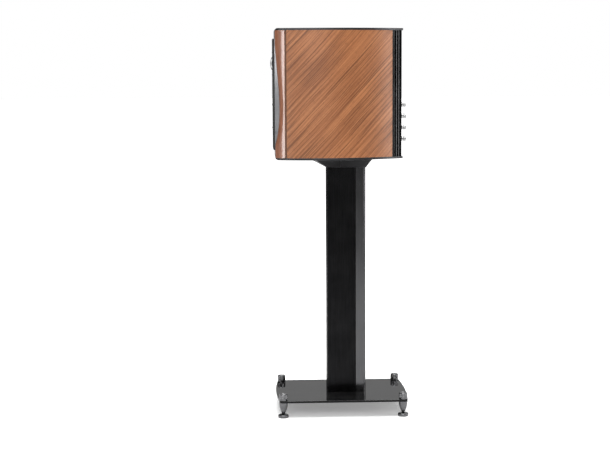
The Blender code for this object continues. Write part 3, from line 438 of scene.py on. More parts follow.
# finish, material, constants, grains per metre, roughness; then the dark, the light and the rubbed tone
COATED_FINISHES = (
    ("black_board", "stained_board", PLAIN, 700.0, (0.6, 0.8),
     (0.150, 0.078, 0.048), (0.200, 0.105, 0.065), (0.08, 0.045, 0.03)),
    ("black_anodised", "black_anodised_ribs", METAL, 1100.0, (0.14, 0.22),
     (0.012, 0.012, 0.0125), (0.026, 0.026, 0.027), (0.11, 0.11, 0.11)),
    ("black_plastic", "moulded_black_plastic", PLAIN, 1600.0, (0.38, 0.55),
     (0.012, 0.012, 0.012), (0.024, 0.024, 0.024), (0.05, 0.05, 0.05)),
    ("rubber", "black_rubber", PLAIN, 1300.0, (0.50, 0.68),
     (0.010, 0.010, 0.010), (0.020, 0.020, 0.020), (0.03, 0.03, 0.03)),
    ("graphite", "graphite_casting", METAL, 800.0, (0.34, 0.48),
     (0.026, 0.026, 0.027), (0.050, 0.050, 0.052), (0.30, 0.30, 0.31)),
    ("driver_metal", "black_cast_frame", METAL, 1000.0, (0.32, 0.45),
     (0.020, 0.020, 0.021), (0.040, 0.040, 0.042), (0.14, 0.14, 0.14)),
    ("magnet", "grey_ferrite", PLAIN, 600.0, (0.42, 0.60),
     (0.035, 0.036, 0.040), (0.070, 0.070, 0.075), (0.13, 0.13, 0.13)),
)

# finish, material, direction of the marks, lines per metre, roughness; then the tones as above
BRUSHED_FINISHES = (
    ("pale_metal", "pale_satin_metal", LEVEL_TURN, 900.0, (0.26, 0.38),
     (0.27, 0.27, 0.28), (0.34, 0.34, 0.35), (0.75, 0.75, 0.75)),
    ("terminal_plate", "terminal_satin_plate", LEVEL_TURN, 1200.0, (0.28, 0.42),
     (0.26, 0.26, 0.27), (0.40, 0.40, 0.41), (0.6, 0.6, 0.6)),
    ("fluted_metal", "fluted_black_metal", UPRIGHT_TURN, 800.0, (0.12, 0.20),
     (0.006, 0.006, 0.0065), (0.018, 0.018, 0.019), (0.09, 0.09, 0.09)),
    ("satin_cover", "satin_column_cover", UPRIGHT_TURN, 500.0, (0.12, 0.19),
     (0.075, 0.075, 0.078), (0.100, 0.100, 0.103), (0.30, 0.30, 0.30)),
    ("plug_metal", "polished_plug", LEVEL_TURN, 1500.0, (0.10, 0.20),
     (0.60, 0.60, 0.60), (0.74, 0.74, 0.74), (0.85, 0.85, 0.85)),
    ("bridge_metal", "bridge_satin_metal", LEVEL_TURN, 1600.0, (0.22, 0.34),
     (0.07, 0.07, 0.07), (0.13, 0.13, 0.13), (0.7, 0.7, 0.7)),
    ("brass_stud", "plated_stud", LEVEL_TURN, 1500.0, (0.16, 0.26),
     (0.58, 0.56, 0.52), (0.74, 0.72, 0.68), (0.85, 0.84, 0.82)),
    ("post_metal", "bright_post_metal", LEVEL_TURN, 1500.0, (0.14, 0.24),
     (0.32, 0.32, 0.32), (0.50, 0.50, 0.50), (0.92, 0.92, 0.92)),
    ("foot_metal", "satin_foot_metal", LEVEL_TURN, 1100.0, (0.15, 0.25),
     (0.10, 0.10, 0.105), (0.19, 0.19, 0.195), (0.6, 0.6, 0.6)),
)

FINISHES = {
    "veneer": wood_finish(
        "walnut_veneer", VENEER_TURN, True,
        (0.400, 0.160, 0.064), (0.182, 0.060, 0.020), (0.080, 0.026, 0.009), 0.65, SATIN_LACQUER,
    ),
    "solid_wood": wood_finish(
        "solid_walnut", UPRIGHT_TURN, False,
        (0.300, 0.120, 0.064), (0.200, 0.074, 0.037), (0.090, 0.031, 0.015), 0.35, GLOSS_LACQUER,
    ),
    "black_skin": hide_finish(),
    "dark_plate": coated_finish(
        "dark_satin_plate", METAL, 900.0, (0.34, 0.40),
        (0.050, 0.050, 0.052), (0.075, 0.075, 0.078), (0.20, 0.20, 0.21), dust=0.03,
    ),
    "gloss_plate": coated_finish(
        "gloss_black_plate", GLOSS_COAT, 260.0, (0.04, 0.08),
        (0.004, 0.004, 0.0045), (0.007, 0.007, 0.0075), (0.015, 0.015, 0.015),
        depth=0.004 * MM, share=0.5, dust=0.03,
    ),
    "cone": cone_finish(),
    "coil_wire": wound_finish(),
    "spider_cloth": woven_finish(
        "treated_spider_cloth", (0.16, 0.10, 0.05), (0.40, 0.27, 0.15), 1800.0, (0.75, 0.9), 0.3 * MM
    ),
    "dome_cloth": woven_finish(
        "treated_dome_silk", (0.008, 0.008, 0.009), (0.024, 0.024, 0.025), 3200.0, (0.34, 0.5), 0.06 * MM
    ),
    "foam": foam_finish(),
}
for finish_key, *values in COATED_FINISHES:
    FINISHES[finish_key] = coated_finish(*values)
for finish_key, *values in BRUSHED_FINISHES:
    FINISHES[finish_key] = brushed_finish(*values)


def matt_rim(made, face_gloss, coat):
    """Keeps a plate's gloss on its flat faces and leaves its sawn rim matt."""
    tree = made.node_tree
    shader = tree.nodes["Principled BSDF"]
    normal = put(tree, "ShaderNodeNewGeometry").outputs["Normal"]
    up = maths(tree, "ABSOLUTE", put(tree, "ShaderNodeSeparateXYZ", {0: normal}).outputs["Z"])
    tree.links.new(remapped(tree, up, 0.3, 0.8, 0.12, face_gloss), shader.inputs["Specular IOR Level"])
    tree.links.new(remapped(tree, up, 0.3, 0.8, 0.0, coat), shader.inputs["Coat Weight"])


matt_rim(FINISHES["gloss_plate"], 0.55, 0.6)


# ---------------------------------------------------------------- outlines
def spread(start, end, count):
    return [start + (end - start) * i / (count - 1) for i in range(count)]


def eased(points, size, closed=True, steps=3, least=25):
    """Rounds each corner of a flat line that turns by more than the least angle."""
    made = []
    count = len(points)
    for i, point in enumerate(points):
        here = Vector(point)
        if not closed and i in (0, count - 1):
            made.append(tuple(here))
            continue
        before = Vector(points[i - 1]) - here
        after = Vector(points[(i + 1) % count]) - here
        turn = 180 - math.degrees(before.angle(after, math.pi))
        if turn < least:
            made.append(tuple(here))
            continue
        reach = min(size, 0.45 * before.length, 0.45 * after.length)
        start = here + before.normalized() * reach
        end = here + after.normalized() * reach
        for share in spread(0, 1, steps + 1):
            on = start * (1 - share) ** 2 + here * 2 * share * (1 - share) + end * share**2
            made.append(tuple(on))
    return made


def rectangle(left, bottom, right, top):
    return [(left, bottom), (right, bottom), (right, top), (left, top)]


def on_circle(centre, radius, angle):
    return centre[0] + radius * math.cos(angle), centre[1] + radius * math.sin(angle)


def arc(centre, radius, start, end, count):
    return [on_circle(centre, radius, angle) for angle in spread(start, end, count)]


def circle(centre, radius, count, first=0.0):
    return [on_circle(centre, radius, first + 2 * math.pi * i / count) for i in range(count)]


def side_half(y, inset=0.0):
    """Half the cabinet's width at depth y."""
    centre = WIDEST_HALF - SIDE_RADIUS
    return centre + math.sqrt((SIDE_RADIUS - inset) ** 2 - (y - WIDEST_Y) ** 2)


def rounded_side_half(y, front):
    """Half the width where the side rolls in towards its nose at the front."""
    into = y - front
    if into >= NOSE_DEPTH:
        return side_half(y)
    left = (NOSE_DEPTH - into) / NOSE_DEPTH
    return side_half(y) - NOSE_WIDTH * (1 - math.sqrt(max(0.0, 1 - left**2)))


def nose_depths(front, rear, bends, rest):
    """Depths along a side: close together round its nose and even behind it."""
    ys = [front + NOSE_DEPTH * (1 - math.cos(a)) for a in spread(0, QUARTER, bends)]
    return ys + spread(front + NOSE_DEPTH, rear, rest)[1:]


def mirrored(right):
    return right + [(-x, y) for x, y in reversed(right)]


def bowed(half, y, bow, count):
    return [(x, y + bow * (1 - (x / half) ** 2)) for x in spread(half, -half, count)]


# ---------------------------------------------------------------- mesh helpers
def loop_edges(bm, points):
    verts = [bm.verts.new(point) for point in points]
    return [bm.edges.new((verts[i - 1], verts[i])) for i in range(len(verts))]


def extruded(outline, start, end, holes=(), along="z"):
    """A flat outline with holes, extruded along z, y (outline in x, z) or x (outline in y, z)."""
    bm = bmesh.new()
    edges = loop_edges(bm, [(x, y, start) for x, y in outline])
    for hole in holes:
        edges += loop_edges(bm, [(x, y, start) for x, y in hole])
    if holes:
        bmesh.ops.triangle_fill(bm, use_beauty=True, use_dissolve=False, edges=edges)
    else:
        bm.faces.new(bm.verts[:])
    lifted = bmesh.ops.extrude_face_region(bm, geom=bm.faces[:])
    verts = [item for item in lifted["geom"] if isinstance(item, bmesh.types.BMVert)]
    bmesh.ops.translate(bm, verts=verts, vec=(0, 0, end - start))
    turns = {"y": ((1, 0, 0), (0, 0, 1), (0, 1, 0)), "x": ((0, 0, 1), (1, 0, 0), (0, 1, 0))}
    if along in turns:
        turn = Matrix(turns[along])
        for vert in bm.verts:
            vert.co = turn @ vert.co
    return bm


def lofted(rings, close_along=False):
    """Joins rings of equal count into a closed skin."""
    bm = bmesh.new()
    rows = [[bm.verts.new(point) for point in ring] for ring in rings]
    pairs = list(zip(rows, rows[1:]))
    if close_along:
        pairs.append((rows[-1], rows[0]))
    for lower, upper in pairs:
        for i in range(len(lower)):
            bm.faces.new((lower[i - 1], lower[i], upper[i], upper[i - 1]))
    if not close_along:
        bm.faces.new(rows[0])
        bm.faces.new(rows[-1])
    return bm


def turned(profile, axis, centre, segments, ridges=0):
    """Turns (radius, distance, ridge depth) points about an axis, with flutes where a depth is given."""
    bm = bmesh.new()
    rows = []
    for point in profile:
        radius, along = point[0], point[1]
        depth = point[2] if len(point) > 2 else 0.0
        steps = 1 if radius == 0 else segments
        row = []
        for i in range(steps):
            angle = 2 * math.pi * i / segments
            out = radius - depth * (0.5 - 0.5 * math.cos(ridges * angle))
            a, b = out * math.cos(angle), out * math.sin(angle)
            if axis == "y":
                spot = (centre[0] + a, along, centre[1] + b)
            else:
                spot = (centre[0] + a, centre[1] + b, along)
            row.append(bm.verts.new(spot))
        rows.append(row * segments if radius == 0 else row)
    pairs = list(zip(rows, rows[1:]))
    if profile[0][0] != 0 or profile[-1][0] != 0:
        pairs.append((rows[-1], rows[0]))
    for lower, upper in pairs:
        for i in range(segments):
            unique = list(dict.fromkeys((lower[i - 1], lower[i], upper[i], upper[i - 1])))
            if len(unique) > 2:
                bm.faces.new(unique)
    return bm


def joined(parts):
    """Several meshes as one."""
    together = bmesh.new()
    carrier = bpy.data.meshes.new("carrier")
    for part in parts:
        bmesh.ops.recalc_face_normals(part, faces=part.faces[:])
        part.to_mesh(carrier)
        part.free()
        together.from_mesh(carrier)
    bpy.data.meshes.remove(carrier)
    return together


def add_piece(name, bm, finish, node=None, body=None, slot=None, edge=0.0, steps=2, sharp=32):
    """Makes a piece that stands for a CAD node, or rides on a body beside it, with softly rounded edges."""
    bmesh.ops.recalc_face_normals(bm, faces=bm.faces[:])
    mesh = bpy.data.meshes.new(name)
    bm.to_mesh(mesh)
    bm.free()
    mesh.shade_smooth()
    mesh.materials.append(FINISHES[finish])
    obj = bpy.data.objects.new(name, mesh)
    bpy.context.scene.collection.objects.link(obj)
    if edge:
        bevel = obj.modifiers.new("rounded_edges", "BEVEL")
        bevel.width = edge
        bevel.segments = steps
        bevel.limit_method = "ANGLE"
        bevel.angle_limit = math.radians(sharp)
        bevel.harden_normals = True
    else:
        mesh.set_sharp_from_angle(angle=math.radians(sharp))
    if node:
        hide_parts(node)
        slot = slot or SLOT_OF[node]
        body = body or BODY_OF[node]
    if body != "blended":
        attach(obj, body)
    return obj


def cut(obj, cutters):
    """Cuts closed meshes out of a piece with one exact Boolean."""
    tool = bpy.data.meshes.new("cutter")
    joined(cutters).to_mesh(tool)
    cutter = bpy.data.objects.new("cutter", tool)
    bpy.context.scene.collection.objects.link(cutter)
    modifier = obj.modifiers.new("cut", "BOOLEAN")
    modifier.operation = "DIFFERENCE"
    modifier.solver = "EXACT"
    modifier.object = cutter
    bpy.context.view_layer.update()
    result = bpy.data.meshes.new_from_object(obj.evaluated_get(bpy.context.evaluated_depsgraph_get()))
    obj.modifiers.remove(modifier)
    bpy.data.objects.remove(cutter)
    obj.data = result
    result.shade_smooth()
    result.set_sharp_from_angle(angle=math.radians(32))


def refinish(node, finish):
    for material_slot in frame["nodes"][node].material_slots:
        material_slot.material = FINISHES[finish]


def reached(node):
    low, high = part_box(node)
    return low, high, (low + high) / 2


# ---------------------------------------------------------------- cabinet
def make_sides():
    for label, side in SIDES:
        node = "cabinet_side_" + label
        low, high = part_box(node)
        ys = spread(low.y, high.y, 72)
        outer = [(side * side_half(y), y) for y in ys]
        inner = [(side * side_half(y, SIDE_THICKNESS), y) for y in reversed(ys)]
        panel = extruded(outer + inner, low.z, high.z)
        add_piece("veneered_side_" + label, panel, "veneer", node, edge=0.5 * MM)


def scoop_at(z, bottom, top):
    if z <= bottom or z >= top:
        return 0.0
    along = ((z - bottom) / (top - bottom)) ** 0.667
    return SCOOP_DEPTH * math.sin(math.pi * along) ** 1.3


def make_cheeks():
    skin_low, skin_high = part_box("baffle_skin")
    bottom, top = skin_low.z + 14.7 * MM, skin_high.z - 10.5 * MM
    margin = 6 * MM
    for label, side in SIDES:
        node = "front_cheek_" + label
        low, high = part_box(node)
        inside = side * min(abs(low.x), abs(high.x))
        rings = []
        for z in [low.z] + spread(bottom - margin, top + margin, 96) + [high.z]:
            front = CABINET_FRONT + scoop_at(z, bottom, top)
            ring = [(inside, high.y, z), (inside, front, z)]
            for y in nose_depths(front, high.y, 14, 6):
                ring.append((side * rounded_side_half(y, front), y, z))
            rings.append(ring)
        cheek = lofted(rings)
        add_piece("wooden_cheek_" + label, cheek, "solid_wood", node, edge=0.5 * MM, sharp=40)
    for label in ("top", "bottom"):
        node = "front_rail_" + label
        low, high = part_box(node)
        outline = eased(rectangle(low.y, low.z, high.y, high.z), 0.8 * MM)
        rail = extruded(outline, low.x, high.x, along="x")
        add_piece("wooden_rail_" + label, rail, "solid_wood", node, edge=0.3 * MM)


def make_plates():
    for label in ("top", "bottom"):
        node = label + "_plate"
        low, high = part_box(node)
        touching, outside = (low.z, high.z) if label == "top" else (high.z, low.z)
        shoulder = touching + (outside - touching) * 0.2
        rings = []
        for z, setback in ((touching, 0), (shoulder, 0), (outside, 4.8 * MM)):
            front = low.y + setback
            right = [(rounded_side_half(y, front), y) for y in nose_depths(front, high.y, 16, 60)]
            rings.append([(x, y, z) for x, y in mirrored(right)])
        plate = lofted(rings)
        add_piece("satin_plate_" + label, plate, "dark_plate", node, edge=0.45 * MM, steps=3, sharp=24)


def board(node, rounding, steps, holes):
    """An upright board that fills its node's box, with rounded corners and round holes."""
    low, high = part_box(node)
    corners = rectangle(low.x, low.z, high.x, high.z)
    return extruded(eased(corners, rounding, steps=steps), low.y, high.y, holes, along="y")


def make_baffle():
    seats = [circle(WOOFER_AXIS, WOOFER_RADIUS + GAP, 96), circle(TWEETER_AXIS, TWEETER_RADIUS + GAP, 80)]
    skin = board("baffle_skin", 2 * MM, 5, seats)
    add_piece("baffle_hide_panel", skin, "black_skin", "baffle_skin", edge=1.0 * MM, steps=4, sharp=50)
    holes = [circle(WOOFER_AXIS, 62.5 * MM, 80), circle(TWEETER_AXIS, 38 * MM, 64)]
    core = board("baffle_body", 1.5 * MM, 4, holes)
    add_piece("baffle_metal_core", core, "pale_metal", "baffle_body", edge=0.4 * MM, sharp=50)
    refinish("sub_baffle", "black_board")


def make_rear():
    low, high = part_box("rear_panel")
    deep = 4.5 * MM
    edges = [low.y + step * MM for step in (0, 2.7, 10.2, 14.6, 17.2, 22.7)] + [high.y]
    insets = (GAP, deep, GAP, deep, GAP, 5 * GAP)
    right = []
    for start, end, inset in zip(edges, edges[1:], insets):
        right += [(side_half(start) - inset, start), (side_half(end) - inset, end)]
    plate_low, plate_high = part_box("terminal_plate")
    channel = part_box("port_tube")[1].x + 0.5 * MM
    right += [(channel, high.y), (channel, plate_low.y - GAP)]
    ribs = extruded(eased(mirrored(right), 0.45 * MM), low.z, high.z)
    panel = add_piece("ribbed_rear_panel", ribs, "black_anodised", "rear_panel")
    holes = [circle((0, reached("port_tube")[2].z), 24.3 * MM, 72)]
    holes += [circle((0, reached("post_%d_stud" % i)[2].z), 3.4 * MM, 24) for i in POSTS]
    past = 5 * MM
    cut(panel, [extruded(hole, low.y - past, high.y + past, along="y") for hole in holes])
    plate = board("terminal_plate", 5 * MM, 6, holes[1:])
    node = "terminal_plate"
    add_piece("terminal_plate_brushed", plate, node, node, edge=0.5 * MM, steps=3, sharp=50)
    left, right, bottom, top = plate_low.x, plate_high.x, plate_low.z, plate_high.z
    inset = 5.5 * MM
    spots = [(x, z) for x in (left + inset, right - inset) for z in (bottom + inset, top - inset)]
    add_screws("terminal_screws", spots, plate_high.y, 1, 2.4 * MM, 1.0 * MM, "black_anodised")
    make_port(plate_low.y)
    for i in POSTS:
        make_post(i)


def make_port(shelf):
    low, high, middle = reached("port_tube")
    bore, wall, flange = 21 * MM, 24 * MM, high.x
    mouth, flare = 9 * MM, 3 * MM
    profile = []
    for a in spread(0, QUARTER, 10):
        profile.append((bore + flare * (1 - math.cos(a)), high.y - mouth + mouth * math.sin(a)))
    profile += [(flange - 1.2 * MM, high.y), (flange, high.y - 1.0 * MM), (flange, shelf), (wall, shelf)]
    profile += [(wall, low.y), (bore, low.y)]
    tube = turned(eased(profile, 0.5 * MM), "y", (0, middle.z), 72)
    add_piece("flared_port", tube, "black_plastic", "port_tube")


def socket_screw(centre, face, way, radius, rise):
    """A round head standing on a face, way -1 to the front or 1 to the rear, with a hexagonal socket."""
    segments, socket, sixth = 24, radius * 0.55, math.pi / 3
    stages = ((radius, -GAP), (radius, rise * 0.6), (radius - GAP, rise), (socket, rise), (socket, rise * 0.3))
    rings = []
    for size, lift in stages:
        ring = []
        for i in range(segments):
            angle = 2 * math.pi * i / segments
            out = size
            if size == socket:
                out = size * math.cos(sixth / 2) / math.cos(angle % sixth - sixth / 2)
            x, z = on_circle(centre, out, angle)
            ring.append((x, face + way * lift, z))
        rings.append(ring)
    return lofted(rings)


def add_screws(name, spots, face, way, radius, rise, finish):
    screws = [socket_screw(spot, face, way, radius, rise) for spot in spots]
    add_piece(name, joined(screws), finish, body="speaker", slot=finish)


def make_post(number):
    prefix = "post_%d" % number
    low, high, middle = reached(prefix + "_stud")
    stud, collar = 3 * MM, high.x
    face = CABINET_REAR + GAP
    thread = face + 1.5 * MM
    profile = [(0, low.y), (stud, low.y), (stud, face), (collar, face), (collar, thread), (stud, thread)]
    turns = 6
    step = (high.y - thread) / turns
    for i in range(turns):
        profile += [(stud - 0.25 * MM, thread + step * (i + 0.5)), (stud, thread + step * (i + 1))]
    profile.append((0, high.y))
    at = (0, middle.z)
    stud_mesh = turned(eased(profile, 0.3 * MM, closed=False, least=50), "y", at, 40)
    add_piece(prefix + "_threaded_stud", stud_mesh, "brass_stud", prefix + "_stud")
    low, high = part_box(prefix + "_washer")
    bore = 3.3 * MM
    ring = eased(rectangle(bore, low.y, high.x, high.y), 0.25 * MM)
    add_piece(prefix + "_flat_washer", turned(ring, "y", at, 48), "post_metal", prefix + "_washer")
    low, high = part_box(prefix + "_knob")
    r = high.x
    grip = 0.45 * MM
    waist = low.y + 0.36 * (high.y - low.y)
    profile = [
        (0, high.y - 2.2 * MM),
        (bore, high.y - 2.2 * MM),
        (bore, low.y),
        (r - 1.0 * MM, low.y),
        (r - 0.3 * MM, low.y + 0.6 * MM),
        (r - 0.3 * MM, waist - 0.9 * MM),
        (r - 1.3 * MM, waist - 0.5 * MM),
        (r - 1.3 * MM, waist + 0.5 * MM),
        (r - 0.2 * MM, waist + 0.9 * MM, grip),
        (r, waist + 1.3 * MM, grip),
        (r, high.y - 1.4 * MM, grip),
        (r - 0.4 * MM, high.y - 0.7 * MM, grip * 0.5),
        (r - 1.2 * MM, high.y),
        (r - 2.6 * MM, high.y),
        (r - 3.0 * MM, high.y - 0.5 * MM),
        (0, high.y - 0.5 * MM),
    ]
    add_piece(prefix + "_grip_knob", turned(profile, "y", at, 96, ridges=16), "post_metal", prefix + "_knob")


# ---------------------------------------------------------------- woofer
def make_woofer():
    at = WOOFER_AXIS
    front = SKIN_FRONT
    flange_back = front + 4 * MM
    magnet_low, magnet_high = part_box("woofer_magnet")
    magnet_front, rear = magnet_low.y, magnet_high.y
    magnet_radius = magnet_high.x
    coil = 16 * MM
    seat = magnet_front - GAP
    lip = WOOFER_RADIUS - 8.7 * MM
    wall = WOOFER_RADIUS - 6.5 * MM
    basket = [
        (lip, front + 0.5 * MM),
        (lip + 0.9 * MM, front),
        (WOOFER_RADIUS - 1.6 * MM, front),
        (WOOFER_RADIUS, front + 1.2 * MM),
        (WOOFER_RADIUS, flange_back),
        (wall, flange_back),
        (wall, flange_back + 16 * MM),
        (magnet_radius + 1 * MM, seat - 4 * MM),
        (magnet_radius + 1 * MM, seat),
        (coil + 4 * MM, seat),
        (coil + 4 * MM, seat - 2.7 * MM),
        (magnet_radius - 3 * MM, seat - 2.7 * MM),
        (magnet_radius - 3 * MM, seat - 5 * MM),
        (wall - 3.5 * MM, flange_back + 16 * MM),
        (wall - 3.5 * MM, flange_back + 2 * MM),
        (lip, flange_back + 2 * MM),
    ]
    basket_mesh = turned(eased(basket, 0.5 * MM), "y", at, 120)
    cast = add_piece("woofer_cast_frame", basket_mesh, "driver_metal", "woofer_basket")
    arms, half = 5, math.radians(26)
    inner, outer = magnet_radius - 2 * MM, wall + 4 * MM
    windows = []
    for i in range(arms):
        angle = 2 * math.pi * (i + 0.5) / arms
        outline = arc(at, outer, angle - half, angle + half, 9) + arc(at, inner, angle + half, angle - half, 9)
        windows.append(extruded(outline, magnet_front - 24 * MM, magnet_front - 6 * MM, along="y"))
    cut(cast, windows)
    spots = circle(at, 63.9 * MM, 6, math.pi / 6)
    add_screws("woofer_screws", spots, front, -1, 2.5 * MM, 0.9 * MM, "driver_metal")
    waist = magnet_radius - 3 * MM
    motor = [
        (0, magnet_front),
        (coil - 1.6 * MM, magnet_front),
        (coil - 1.6 * MM, magnet_front + 20 * MM),
        (coil + 1.4 * MM, magnet_front + 20 * MM),
        (coil + 1.4 * MM, magnet_front),
        (magnet_radius, magnet_front),
        (magnet_radius, magnet_front + 6 * MM),
        (waist, magnet_front + 6 * MM),
        (waist, magnet_front + 22 * MM),
        (magnet_radius, magnet_front + 22 * MM),
        (magnet_radius, rear),
        (0, rear),
    ]
    motor_mesh = turned(eased(motor, 0.6 * MM, closed=False), "y", at, 80)
    add_piece("woofer_motor", motor_mesh, "magnet", "woofer_magnet")
    plug_low, plug_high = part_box("woofer_phase_plug")
    plug_radius = plug_high.x
    plug = [(0, plug_low.y)]
    for share in spread(0.04, 1.0, 22):
        plug.append((plug_radius * math.sqrt(1 - (1 - share) ** 2), plug_low.y + 38 * MM * share**1.3))
    plug += [(plug_radius, plug_high.y), (0, plug_high.y)]
    add_piece("woofer_bullet_plug", turned(plug, "y", at, 80), "plug_metal", "woofer_phase_plug")
    make_woofer_moving(at, lip, front, coil)


def make_woofer_moving(at, lip, front, coil):
    cone_front = front + 3.7 * MM
    cone_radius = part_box("woofer_cone")[1].x
    neck = coil + GAP
    depth = 25 * MM
    face = []
    for share in spread(0, 1, 26):
        radius = cone_radius + (neck - cone_radius) * share
        face.append((radius, cone_front + depth * share**0.88))
    back = [(radius, along + 0.9 * MM) for radius, along in reversed(face)]
    add_piece("woofer_pressed_cone", turned(face + back, "y", at, 120), "cone", "woofer_cone")
    refinish("woofer_voice_coil", "coil_wire")
    inner = cone_radius + 0.4 * MM
    outer = lip - 0.6 * MM
    sectors = 12
    for number in range(sectors):
        make_surround_sector(number, sectors, inner, outer, cone_front)
    low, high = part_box("woofer_spider")
    near = []
    middle = (low.y + high.y) / 2 - 0.35 * MM
    for i, radius in enumerate(spread(coil + 0.4 * MM, high.x, 57)):
        near.append((radius, middle + 1.2 * MM * math.cos(i * math.pi / 8)))
    far = [(radius, along + 0.7 * MM) for radius, along in reversed(near)]
    add_piece("woofer_corrugated_spider", turned(near + far, "y", at, 80), "spider_cloth", "woofer_spider")


def make_surround_sector(number, sectors, inner, outer, cone_front):
    """One slice of the half-roll surround, bent along its own radius between the frame and the cone."""
    half = math.pi / sectors
    heading = 2 * half * number
    middle, roll, rise, sheet = (inner + outer) / 2, (outer - inner) / 2, 3.7 * MM, 0.9 * MM
    section = []
    for angle in spread(math.pi, 0, 15):
        section.append((middle + roll * math.cos(angle), cone_front - rise * math.sin(angle)))
    for angle in spread(0, math.pi, 15):
        section.append((middle + (roll - sheet) * math.cos(angle), cone_front + sheet - rise * math.sin(angle)))
    rings = []
    for turn in spread(heading - half, heading + half, 13):
        rings.append([(r * math.cos(turn), y, WOOFER_Z + r * math.sin(turn)) for r, y in section])
    name = "woofer_roll_surround_%02d" % (number + 1)
    piece = add_piece(name, lofted(rings), "rubber", "woofer_surround", body="blended", sharp=40)
    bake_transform(piece)


# ---------------------------------------------------------------- tweeter
def make_tweeter():
    at = TWEETER_AXIS
    front, rear = TWEETER_LOW.y, TWEETER_HIGH.y
    flange_back = front + 4 * MM
    boss = 36 * MM
    dome_radius = 12.6 * MM
    throat = dome_radius + 1 * MM
    seat = dome_radius + 4.4 * MM
    ledge = front + 3.7 * MM
    plate = []
    for a in spread(0, QUARTER, 10):
        plate.append((seat + 12 * MM * math.sin(a), front + 1.5 * MM * (1 - math.sin(a)) ** 1.4))
    plate += [
        (TWEETER_RADIUS - 1.5 * MM, front),
        (TWEETER_RADIUS, front + 1.2 * MM),
        (TWEETER_RADIUS, flange_back),
        (boss, flange_back),
        (boss, rear),
        (throat, rear),
        (throat, ledge),
        (seat, ledge),
    ]
    face = turned(eased(plate, 0.4 * MM), "y", at, 112)
    add_piece("tweeter_flared_faceplate", face, "driver_metal", "tweeter_faceplate")
    spots = circle(at, 43.5 * MM, 4, math.pi / 4)
    add_screws("tweeter_screws", spots, front, -1, 2.2 * MM, 0.8 * MM, "driver_metal")
    low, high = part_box("tweeter_magnet")
    motor = eased(rectangle(0, low.y, high.x, high.y), 1.2 * MM, closed=False)
    add_piece("tweeter_motor", turned(motor, "y", at, 64), "magnet", "tweeter_magnet")
    low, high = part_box("tweeter_dome")
    edge = front + 2.2 * MM
    rise, shell = edge - low.y, 0.6 * MM
    outside = [(0, low.y)]
    inside = [(0, low.y + shell)]
    for angle in spread(0.06, QUARTER, 18):
        outside.append((dome_radius * math.sin(angle), edge - rise * math.cos(angle)))
        inside.append(((dome_radius - shell) * math.sin(angle), edge - (rise - shell) * math.cos(angle)))
    dome = outside + [(dome_radius, high.y), (dome_radius - shell, high.y)] + list(reversed(inside))
    add_piece("tweeter_silk_dome", turned(dome, "y", at, 80), "dome_cloth", "tweeter_dome")
    inner, outer = dome_radius + GAP, seat - GAP
    middle, roll = (inner + outer) / 2, (outer - inner) / 2
    above, below = [], []
    for angle in spread(math.pi, 0, 12):
        lift = 1.4 * MM * math.sin(angle)
        above.append((middle + roll * math.cos(angle), edge + 0.4 * MM - lift))
        below.append((middle + (roll - 0.4 * MM) * math.cos(angle), edge + 0.9 * MM - lift))
    ring = turned(above + list(reversed(below)), "y", at, 80)
    add_piece("tweeter_half_roll", ring, "dome_cloth", "tweeter_surround", sharp=60)
    make_bridge(at)


def make_bridge(at):
    low, high, middle = reached("tweeter_bridge")
    half, strip, landing = (high.z - low.z) / 2, 1.5 * MM, 2.6 * MM
    foot = high.y
    rise = foot - low.y - strip
    outer, inner = [], []
    for share in spread(-1, 1, 33):
        arch = strip + rise * max(0.0, math.cos(share * QUARTER)) ** 0.8
        outer.append((foot - arch, middle.z + half * share))
    for share in spread(-0.66, 0.66, 25):
        inner.append((foot - rise * math.cos(share * QUARTER) ** 0.8, middle.z + half * share))
    outline = [(foot, middle.z - half)] + outer + [(foot, middle.z + half), (foot, middle.z + half - landing)]
    outline += inner[::-1] + [(foot, middle.z - half + landing)]
    arch = extruded(outline, -high.x, high.x, along="x")
    add_piece("tweeter_arched_bridge", arch, "bridge_metal", "tweeter_bridge", edge=0.35 * MM, sharp=40)
    stop = [(0, low.y + 0.2 * MM), (3.2 * MM, low.y + 0.2 * MM), (5.2 * MM, low.y + 0.9 * MM)]
    stop += [(5.2 * MM, low.y + 2.0 * MM), (0, low.y + 2.0 * MM)]
    disc = turned(eased(stop, 0.4 * MM, closed=False), "y", at, 48)
    add_piece("tweeter_bridge_disc", disc, "rubber", body="speaker", slot="rubber")


# ---------------------------------------------------------------- inside
def rim_of(rows):
    return rows[0] + [row[-1] for row in rows[1:]] + rows[-1][-2::-1] + [row[0] for row in rows[-2:0:-1]]


def make_inside():
    refinish("crossover_board", "black_plastic")
    refinish("crossover_coil", "coil_wire")
    low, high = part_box("damping_foam")
    across, along = 49, 67
    bm = bmesh.new()
    upper, lower = [], []
    for j in range(along):
        y = low.y + (high.y - low.y) * j / (along - 1)
        row_up, row_down = [], []
        for i in range(across):
            x = low.x + (high.x - low.x) * i / (across - 1)
            rim = min(i, j, across - 1 - i, along - 1 - j)
            peak = math.cos(math.pi * i / 4) * math.cos(math.pi * j / 4)
            sink = (6.5 + 5.0 * peak) * MM if rim else 7 * MM
            row_down.append(bm.verts.new((x, y, low.z + sink)))
            row_up.append(bm.verts.new((x, y, high.z - (0 if rim else 0.8 * MM))))
        upper.append(row_up)
        lower.append(row_down)
    for rows in (upper, lower):
        for j in range(along - 1):
            for i in range(across - 1):
                bm.faces.new((rows[j][i], rows[j][i + 1], rows[j + 1][i + 1], rows[j + 1][i]))
    rim_up, rim_down = rim_of(upper), rim_of(lower)
    for i in range(len(rim_up)):
        bm.faces.new((rim_up[i - 1], rim_up[i], rim_down[i], rim_down[i - 1]))
    pad = add_piece("egg_crate_damping_pad", bm, "foam", "damping_foam", sharp=60)


